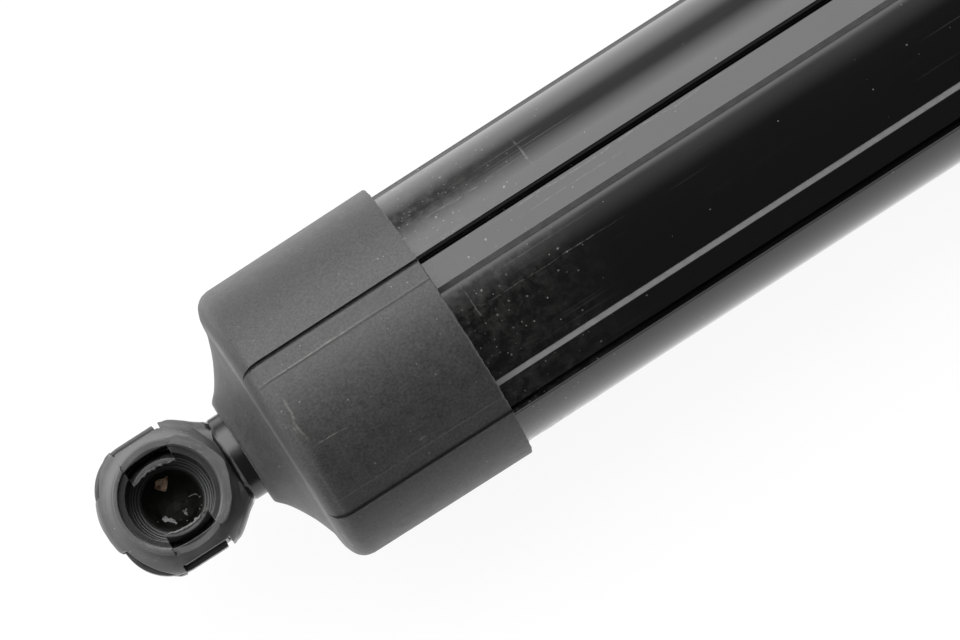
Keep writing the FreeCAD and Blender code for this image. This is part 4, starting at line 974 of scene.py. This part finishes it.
def shapeFlake(f):
    # a dried flake stuck in the grease, tilted with the bowl
    body = prism("flake", softCorners(f["outline"], 0.15, 3), -f["thickness"], f["thickness"])
    body.data.transform(Matrix.Translation(f["place"]) @ Matrix.Rotation(math.radians(f["tilt"]), 4, "X"))
    return roughened(body, f["voxel"], f["rough"], 1.6, 3)


def makeSockets():
    upper = shapeSocket(socket)
    finishBoth(upper, copied(upper), "Socket", "socket_plastic", "ball_socket")
    upper = shapeClip(clip)
    finishBoth(upper, copied(upper), "Clip", "clip_steel", "retaining_clip", crease=35)
    film = shapeGrease(grease, socket["seat"])
    beads = shapeLipGrease(lipGrease, socket)
    lowerFilm, lowerBeads = copied(film), copied(beads)
    finishBoth(film, lowerFilm, "Grease", "socket_plastic", finish="grease")
    finishBoth(beads, lowerBeads, "LipGrease", "socket_plastic", finish="driedGrease")
    finishPiece(shapeFlake(flake), "greaseFlake", "cover", "socket_plastic", finish="flake")
    lumps = shapeBlobs(blobs, socket["seat"])
    finishPiece(lumps, "greaseBlobs", "cover", "socket_plastic", finish="paleGreaseHighlight")


makeSockets()
print("sockets, clips and grease ready")


# profiled section of the cover tube, and what fits over it

section = {
    "lobe": 17.0, "land": 15.35, "landAngle": 23.35, "stepAngle": 39.7, "roll": 14.9,
    "rise": 0.48, "flatAngle": 25.15,                        # a low wall between each land and flat
    "slotStart": 37.6, "slotDepth": 0.9, "slotLean": 1.3,    # dark slot at the foot of each lobe
    "groove": 2.0, "grooveDepth": 0.25,
}


def polar(radius, angle):
    # a point across the strut; the angle runs from +Z towards -Y
    turn = math.radians(angle)
    return -radius * math.sin(turn), radius * math.cos(turn)


def fromLand(angle, roll):
    # the angle to the middle of the nearer land, -90 to 90
    return (angle - roll + 90) % 180 - 90


def sectionOutline(grow, detailed):
    # closed outline of (y, z): two lobes, and two lands with raised flats that run out to steps
    land, lobe = section["land"] + grow, section["lobe"] + grow
    landAngle, stepAngle, flatAngle = section["landAngle"], section["stepAngle"], section["flatAngle"]
    quarter = [(land, landAngle * number / 24) for number in range(25)]

    def flat(angle):
        return (land + section["rise"]) / math.cos(math.radians(max(0.0, angle - flatAngle)))

    quarter += [(flat(flatAngle), flatAngle), (flat(flatAngle + 0.4), flatAngle + 0.4)]
    if detailed:
        slot, deep, lean = section["slotStart"], section["slotDepth"], section["slotLean"]
        quarter += [(flat(slot - 0.3), slot - 0.3), (flat(slot), slot),
                    (flat(slot) - deep, slot + 0.3), (flat(slot) - deep, stepAngle + lean),
                    (lobe - 0.12, stepAngle), (lobe, stepAngle + 0.35)]
    else:
        foot = flat(stepAngle)
        quarter += [(flat(stepAngle - 0.3), stepAngle - 0.3), (foot, stepAngle - 0.02),
                    (foot + 0.02, stepAngle), (lobe - 0.02, stepAngle), (lobe, stepAngle + 0.02)]
    edge = 90 - section["groove"] if detailed else 90
    quarter += [(lobe, stepAngle + 0.5 + (edge - stepAngle - 0.5) * number / 40) for number in range(41)]
    if detailed:
        groove, deep = section["groove"], section["grooveDepth"]
        quarter += [(lobe - deep * share, edge + groove * place)
                    for share, place in ((0.8, 0.25), (1.0, 0.6))]
    half = quarter + [(radius, 180 - angle) for radius, angle in reversed(quarter)]
    whole = half + [(radius, 360 - angle) for radius, angle in reversed(half)]
    outline = []
    for radius, angle in whole:
        point = Vector(polar(radius, angle + section["roll"]))
        if not outline or (point - outline[-1]).length > 0.004:
            outline.append(point)
    if (outline[0] - outline[-1]).length < 0.004:
        outline.pop()
    return [tuple(point) for point in outline]


def sectionRadius(angle, grow):
    # the plain section's radius at an angle from +Z towards -Y
    off = abs(fromLand(angle, section["roll"]))
    if off < section["landAngle"]:
        return section["land"] + grow
    if off < section["stepAngle"]:
        tilt = math.radians(max(0.0, off - section["flatAngle"]))
        return (section["land"] + section["rise"] + grow) / math.cos(tilt)
    return section["lobe"] + grow


coverTube = {"start": 17.0, "end": 284.9, "wall": 1.2, "thinnest": 0.45, "corner": 0.22, "edge": 0.15}


def makeCoverTube(t):
    outer = softCorners(sectionOutline(0, True), t["corner"])

    def ring(along, grow):
        scaled = []
        for y, z in outer:
            radius = math.hypot(y, z)
            scaled.append((along, y * (radius + grow) / radius, z * (radius + grow) / radius))
        return scaled

    inner = []
    for y, z in outer:
        radius = math.hypot(y, z)
        inside = min(sectionRadius(math.degrees(math.atan2(-y, z)), -t["wall"]), radius - t["thinnest"])
        inner.append((y * inside / radius, z * inside / radius))
    start, end, edge = t["start"], t["end"], t["edge"]
    rings = [ring(start, -edge), ring(start + edge, 0), ring(start + 1, 0), ring(end - 1, 0),
             ring(end - edge, 0), ring(end, -edge)]
    rings += [[(along, y, z) for y, z in inner] for along in (end, start)]
    finishPiece(band("tube", rings), "coverTube", "cover", "tube_black", ["cover_tube"], crease=30)


makeCoverTube(coverTube)
print("cover tube ready")


# rubber boots

boot = {
    "front": [(10.05, 5.62), (10.0, 6.2), (10.05, 6.85), (11.0, 7.9), (11.9, 9.26), (12.94, 11.25),
              (13.64, 13.1), (13.9, 13.95), (13.98, 14.7), (14.05, 15.3)],
    "shoulder": [(14.2, 16.0), (14.6, 16.95), (15.05, 17.5), (15.7, 17.93), (16.6, 18.14)],
    "end": 38.4, "lobe": 18.3, "land": 17.78, "landAngle": 26.9, "stepAngle": 35.4, "stepWidth": 0.2,
    "roll": 13.0, "crevice": 0.24, "creviceWidth": 0.6, "creviceLean": 1.2,
    "ridge": 0.05, "ridgeWidth": 0.45, "fadeStart": 13.95, "fadeEnd": 15.6,
    "collar": [0.02, 0.06, 0.12, 0.2, 0.3, 0.4, 0.5, 0.6, 0.7, 0.8, 0.9, 0.96, 0.985, 0.994],
    "inside": [(15.4, 15.0), (15.35, 14.4), (15.1, 13.2), (14.3, 11.2), (13.1, 9.0), (12.0, 7.5), (11.2, 6.4),
               (11.0, 5.52), (10.15, 5.5)],
    "easeBack": (15.0, 16.5), "leastSink": 0.35, "rag": 0.12, "ragGrain": 30, "gap": 0.05,
}


def bootDepth(angle, b):
    # how far the collar lies below the lobes: land, tangent flats, crevice and step
    off = abs(fromLand(angle, b["roll"]))
    ridge = b["ridge"] * math.exp(-((off - b["landAngle"]) / b["ridgeWidth"]) ** 2)
    foot = b["lobe"] - b["land"] / math.cos(math.radians(b["stepAngle"] - b["landAngle"]))
    if off < b["landAngle"]:
        return b["lobe"] - b["land"] - ridge
    if off < b["stepAngle"]:
        flat = b["lobe"] - b["land"] / math.cos(math.radians(off - b["landAngle"]))
        return flat - ridge + b["crevice"] * math.exp(-((b["stepAngle"] - off) / b["creviceWidth"]) ** 2)
    share = min(1.0, (off - b["stepAngle"]) / b["stepWidth"])
    return (foot + b["crevice"]) * (1 - share * share * (3 - 2 * share))


def smoothStep(value, low, high):
    share = min(1.0, max(0.0, (value - low) / (high - low)))
    return share * share * (3 - 2 * share)


def creviceShift(angle, b):
    # the crevice runs in under the edge of the lobe, so its wall hides from the light
    turned = fromLand(angle, b["roll"])
    off = abs(turned)
    step = b["stepAngle"]
    under = smoothStep(off, step - 0.5, step) * smoothStep(off, step + b["stepWidth"], step)
    return math.copysign(b["creviceLean"] * under, turned)


def bootProfile(b, outer):
    # the cone and shoulder, and a straight collar out to the end
    profile = curveThrough(b["front"] + b["shoulder"], 4)
    start = profile[-1]
    return profile + [(start[0] + (b["end"] - start[0]) * share, start[1] + (outer - start[1]) * share)
                      for share in b["collar"]]


def makeUpperBoot(b):
    profile = bootProfile(b, b["lobe"])
    profile += [(b["end"] - 0.03, b["lobe"] - 0.02), (b["end"], b["lobe"] - 0.10)]
    angles = [float(number) for number in range(360)]
    for middle in (b["roll"], b["roll"] + 180):
        for side in (-1, 1):
            crease = middle + side * b["landAngle"]
            angles += [crease + offset / 10 for offset in range(-9, 10, 2)]
            crease = middle + side * (b["stepAngle"] + b["stepWidth"] / 2)
            angles += [crease + offset / 20 for offset in range(-24, 18)]
    angles = sorted({round(angle % 360, 2) for angle in angles})
    rings = []
    for number, (along, radius) in enumerate(profile):
        before = profile[max(number - 1, 0)]
        after = profile[min(number + 1, len(profile) - 1)]
        run = Vector((after[0] - before[0], after[1] - before[1])).normalized()
        fade = smoothStep(along, b["fadeStart"], b["fadeEnd"])
        ragged = smoothStep(along, b["end"] - 0.5, b["end"])
        ring = []
        for angle in angles:
            depth = bootDepth(angle, b) * fade
            place = Vector(polar(1.0, angle + creviceShift(angle, b) * fade))
            rag = b["rag"] * ragged * noise.noise(Vector((*(place * b["ragGrain"]), 0)))
            x = along + depth * run.y * (1 - smoothStep(along, *b["easeBack"])) + rag
            ring.append((x, *(place * (radius - depth * max(run.x, b["leastSink"] * fade)))))
        rings.append(ring)
    tube = [sectionRadius(angle, b["gap"]) for angle in angles]
    for along in (b["end"] - 0.02, b["end"] - 0.4, b["inside"][0][0]):
        rings.append([(along, *polar(radius, angle)) for radius, angle in zip(tube, angles)])
    for along, radius in b["inside"]:
        rings.append([(along, *polar(radius, angle)) for angle in angles])
    finishPiece(band("boot", rings), "upperBoot", "cover", "boot_rubber", ["upper_boot"], crease=48)


lowerBoot = {
    "front": [(10.05, 5.62), (10.0, 6.2), (10.05, 6.85), (10.7, 7.6), (11.6, 8.7), (12.6, 9.9), (13.5, 10.9)],
    "shoulder": [(14.0, 11.6), (14.3, 12.4), (14.75, 13.3), (15.4, 13.95), (16.3, 14.3), (17.2, 14.4)],
    "collar": [0.1, 0.25, 0.5, 0.75, 0.9, 0.97, 0.99],
    "end": 38.4, "outer": 14.5, "bore": 13.25, "face": 15.4,
    "inside": [(15.4, 11.2), (14.6, 10.3), (13.4, 9.0), (12.2, 7.5), (11.4, 6.4), (11.1, 5.52), (10.15, 5.5)],
    "holePlace": 20.7, "hole": 4.04, "rag": 0.05,
}


def makeLowerBoot(b):
    profile = bootProfile(b, b["outer"])
    profile += [(b["end"] - 0.03, b["outer"] - 0.02), (b["end"], b["outer"] - 0.1), (b["end"], b["bore"]),
                (b["face"], b["bore"])] + b["inside"]
    body = turnedRing("lowerBoot", [(radius, along) for along, radius in profile])
    side = lathe("hole", [(0, -20), (b["hole"], -20), (b["hole"], 0), (0, 0)], "Y")
    side.data.transform(Matrix.Translation((b["holePlace"], 0, 0)))
    combine(body, "DIFFERENCE", side)
    finishPiece(body, "lowerBoot", "drive", "boot_rubber", ["lower_boot"], turned=True, crease=48)


makeUpperBoot(boot)
makeLowerBoot(lowerBoot)
print("boots ready")


# end ring, wiper, sliding tube, cable inlet and motor rubbers

endRing = {"skirtStart": 279.95, "tubeEnd": 284.9, "end": 287.85, "wall": 0.95, "clearance": 0.22,
           "bore": 13.5, "round": 0.7, "corner": 0.6, "edge": 0.12}


def makeEndRing(r):
    outline = softCorners(sectionOutline(r["wall"], False), r["corner"])
    polarOutline = [(math.hypot(y, z), math.degrees(math.atan2(-y, z))) for y, z in outline]

    def outside(along, drop):
        return [(along, *polar(radius - drop, angle)) for radius, angle in polarOutline]

    def inside(along, grow):
        return [(along, *polar(sectionRadius(angle, grow), angle)) for _, angle in polarOutline]

    def bore(along, radius):
        return [(along, *polar(radius, angle)) for _, angle in polarOutline]

    start, end, edge = r["skirtStart"], r["end"], r["edge"]
    rings = [outside(start, edge), outside(start + edge, 0), outside(start + 0.6, 0)]
    for x, drop in arc(0, 0, r["round"], 90, 0, 6):
        rings.append(outside(end - r["round"] + x, r["round"] - drop))
    rings += [bore(end, r["bore"] + 0.6), bore(end - 0.15, r["bore"] + 0.2), bore(end - 0.5, r["bore"]),
              bore(r["tubeEnd"] + 0.1, r["bore"]), inside(r["tubeEnd"] + 0.1, r["clearance"]),
              inside(start, r["clearance"])]
    finishPiece(band("ring", rings), "endRing", "cover", "black_plastic", ["end_ring"], crease=40)


wiper = {"profile": [(13.9, 283.0), (13.9, 284.8), (13.48, 284.85), (13.46, 286.6), (13.3, 286.8),
                     (13.24, 286.5), (13.27, 285.2), (13.6, 284.2), (13.6, 283.0)]}
driveTube = {"start": 43.9, "end": 430.0, "radius": 13.2, "wall": 1.2, "edge": 0.2}
grommet = {
    "place": 20.7,
    "profile": [(2.6, -7.6), (2.6, -20.2), (2.8, -20.5), (3.2, -20.5), (3.42, -20.2), (3.46, -19.6),
                (3.2, -19.4), (3.2, -18.9), (3.54, -18.7), (3.6, -18.1), (3.3, -17.9), (3.3, -17.4),
                (3.72, -17.2), (3.8, -16.6), (3.6, -16.3), (3.75, -15.95), (4.2, -15.78), (5.2, -15.75),
                (5.4, -15.55), (5.4, -14.6), (4.02, -14.55), (3.98, -7.6)],
}
rubberRing = {"bore": 6.0, "round": 0.9, "waist": 0.5, "edge": 0.3}


def makeSlidingParts():
    seal = turnedRing("wiper", wiper["profile"])
    finishPiece(seal, "wiperSeal", "cover", "seal_rubber", ["wiper_seal"], crease=50)
    t = driveTube
    bore, edge = t["radius"] - t["wall"], t["edge"]
    profile = [(bore, t["start"]), (t["radius"] - edge, t["start"]), (t["radius"], t["start"] + edge),
               (t["radius"], t["start"] + 1), (t["radius"], t["end"] - 1), (t["radius"], t["end"] - edge),
               (t["radius"] - edge, t["end"]), (bore, t["end"])]
    tube = turnedRing("driveTube", profile, steps=360)
    finishPiece(tube, "driveTube", "drive", "tube_black", ["drive_tube"], crease=30)
    inlet = turnedRing("grommet", grommet["profile"], "Y", 96)
    inlet.data.transform(Matrix.Translation((grommet["place"], 0, 0)))
    finishPiece(inlet, "cableInlet", "drive", "seal_rubber", ["cable_grommet"], turned=True, crease=50)


def makeMotorRubbers(r):
    for node, name in (("front_decoupler", "frontRubber"), ("rear_decoupler", "rearRubber")):
        low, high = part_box(node)
        start, end, outside = low.x / mm, high.x / mm, high.z / mm
        ease, edge, bore = r["round"], r["edge"], r["bore"]
        middle = (start + end) / 2
        profile = [(bore + edge, start), (outside - ease, start)] + [
            (outside - ease + a, start + ease + b) for a, b in arc(0, 0, ease, -80, 0, 5)]
        profile += [(outside - r["waist"], middle)]
        profile += [(outside - ease + a, end - ease + b) for a, b in arc(0, 0, ease, 0, 80, 5)]
        profile += [(outside - ease, end), (bore + edge, end), (bore, end - edge), (bore, start + edge)]
        finishPiece(turnedRing("rubber", profile), name, "drive", "seal_rubber", [node], crease=50)


makeEndRing(endRing)
makeSlidingParts()
makeMotorRubbers(rubberRing)
print("end ring, sliding parts and rubbers ready")


# stage: floor, studio light and camera

stage = {
    "floorDrop": 0.0187, "floorSize": 30.0, "floorWhite": 0.8,
    # in reflections the floor is painted brighter on the key's side near the strut and dimmer far off:
    # painted light and shade
    "cameraWhite": 1.0, "floorShade": 0.08, "glossWhite": 1.25, "keySideWhite": 1.9, "farWhite": 0.6,
    "farStart": 0.07, "farEnd": 0.14,
    # painted shadow: a dim strip on the floor beside the strut, seen only in reflections
    "paintedShadowStrip": (0.0155, 0.0175, 0.028, 0.032), "stripShade": 0.85,      # dim strip beside the strut
    "keySideEnd": 0.02,
}


def makeFloor():
    half = stage["floorSize"] / 2
    mesh = bpy.data.meshes.new("floor")
    corners = [(-half, -half, 0), (half, -half, 0), (half, half, 0), (-half, half, 0)]
    mesh.from_pydata(corners, [], [(0, 1, 2, 3)])
    floor = bpy.data.objects.new("floor", mesh)
    bpy.context.scene.collection.objects.link(floor)
    floor.location.z = -stage["floorDrop"]
    material, nodes, shader = startMaterial("paleFloor")
    shader.inputs["Base Color"].default_value = colour(stage["floorWhite"])
    shader.inputs["Roughness"].default_value = 0.9
    shader.inputs["Specular IOR Level"].default_value = 0.0
    ray = nodes.add("ShaderNodeLightPath").outputs
    glow = nodes.add("ShaderNodeEmission", {"Color": colour(stage["cameraWhite"])})
    # the floor as reflections see it: painted light on the key's side, painted shade far off, and a painted
    # shadow strip beside the strut
    aside = nodes.axes()["Y"]
    paintedShadowStrip = nodes.between(aside, *stage["paintedShadowStrip"])
    near = nodes.ramp(aside, 0.0, stage["keySideEnd"], stage["glossWhite"], stage["keySideWhite"])
    far = nodes.ramp(aside, stage["farStart"], stage["farEnd"])
    level = nodes.plus(nodes.times(near, nodes.minus(1.0, far)), nodes.times(far, stage["farWhite"]))
    level = nodes.times(level, nodes.ramp(paintedShadowStrip, 0.0, 1.0, 1.0, 1 - stage["stripShade"]))
    mirror = nodes.add("ShaderNodeEmission", {"Color": colour(stage["cameraWhite"]), "Strength": level})
    seen = nodes.times(ray["Is Camera Ray"], 1 - stage["floorShade"])
    plain = nodes.add("ShaderNodeMixShader", {0: seen, 1: shader.outputs[0], 2: glow.outputs[0]})
    reflected = nodes.math("MAXIMUM", ray["Is Glossy Ray"], ray["Is Transmission Ray"])
    whole = nodes.add("ShaderNodeMixShader", {0: reflected, 1: plain.outputs[0], 2: mirror.outputs[0]})
    nodes.feed(material.node_tree.nodes["Material Output"].inputs["Surface"], whole.outputs[0])
    mesh.materials.append(material)


studio = {
    # levels, and angles in degrees
    "dim": 0.12,                                               # the dark room above the table
    "keyLevel": 4.9, "keyHeight": (14.0, 20.0, 68.0, 92.0), "keyFull": 34.0, "keyFade": 50.0,
    "haloLevel": 0.8, "haloTilt": 10.0, "haloWidth": 16.0,
    "endLevel": 1.9, "endStart": -22.0, "endFull": -40.0,      # softer light at the socket's end
}


def makeStudioLight():
    # a dark room with a wide soft light along the strut's +Y side, and a softer one at the socket's end
    world = bpy.data.worlds.new("studio")
    bpy.context.scene.world = world
    world.use_nodes = True
    nodes = Nodes(world.node_tree)
    world.node_tree.nodes.clear()
    way = nodes.add("ShaderNodeTexCoord").outputs["Generated"]
    axes = nodes.add("ShaderNodeSeparateXYZ", {"Vector": way}).outputs
    tilt = nodes.times(nodes.math("ARCTAN2", axes["Y"], axes["Z"]), 180 / math.pi)
    along = nodes.times(nodes.math("ARCSINE", axes["X"]), 180 / math.pi)
    inHeight = nodes.between(tilt, *studio["keyHeight"])
    inLength = nodes.ramp(nodes.size(along), studio["keyFade"], studio["keyFull"])
    key = nodes.times(inHeight, inLength, studio["keyLevel"])
    offHalo = nodes.size(nodes.minus(tilt, studio["haloTilt"]))
    halo = nodes.times(nodes.ramp(offHalo, studio["haloWidth"], 0.0), studio["haloLevel"])
    end = nodes.times(nodes.ramp(along, studio["endStart"], studio["endFull"]),
                      nodes.ramp(axes["Z"], 0.0, 0.15, 0.0, studio["endLevel"]))
    level = nodes.plus(key, halo, end, studio["dim"])
    ray = nodes.add("ShaderNodeLightPath").outputs["Is Camera Ray"]
    level = nodes.plus(nodes.times(level, nodes.minus(1.0, ray)), nodes.times(ray, stage["cameraWhite"]))
    shade = nodes.add("ShaderNodeCombineColor", {"Red": level, "Green": level, "Blue": level})
    back = nodes.add("ShaderNodeBackground", {"Color": shade.outputs[0], "Strength": 1.0})
    sink = nodes.add("ShaderNodeOutputWorld")
    nodes.feed(sink.inputs["Surface"], back.outputs[0])


camera = {
    "imageWidth": 960, "pixel": 0.1172,      # one pixel at the strut's axis, in millimetres
    "stand": (0, -38, 660), "lookAt": (41.7072, -1.9608, 0), "strutAngle": 32.77, "sensor": 36,
}


def makeCamera():
    stand, lookAt = Vector(camera["stand"]), Vector(camera["lookAt"])
    back = (stand - lookAt).normalized()
    across = (Vector((1, 0, 0)) - back * back.x).normalized()
    upward = back.cross(across)
    turn = math.radians(camera["strutAngle"])
    right = across * math.cos(turn) - upward * math.sin(turn)
    up = across * math.sin(turn) + upward * math.cos(turn)
    data = bpy.data.cameras.new("camera")
    data.sensor_width = camera["sensor"]
    data.lens = camera["sensor"] * (stand - lookAt).length / (camera["imageWidth"] * camera["pixel"])
    data.clip_start = 0.05
    data.clip_end = 100
    obj = bpy.data.objects.new("camera", data)
    bpy.context.scene.collection.objects.link(obj)
    obj.matrix_world = Matrix.Translation(stand * mm) @ Matrix((right, up, back)).transposed().to_4x4()
    bpy.context.scene.camera = obj


makeFloor()
makeStudioLight()
makeCamera()
bpy.context.scene.view_settings.view_transform = "Standard"
print("stage ready")
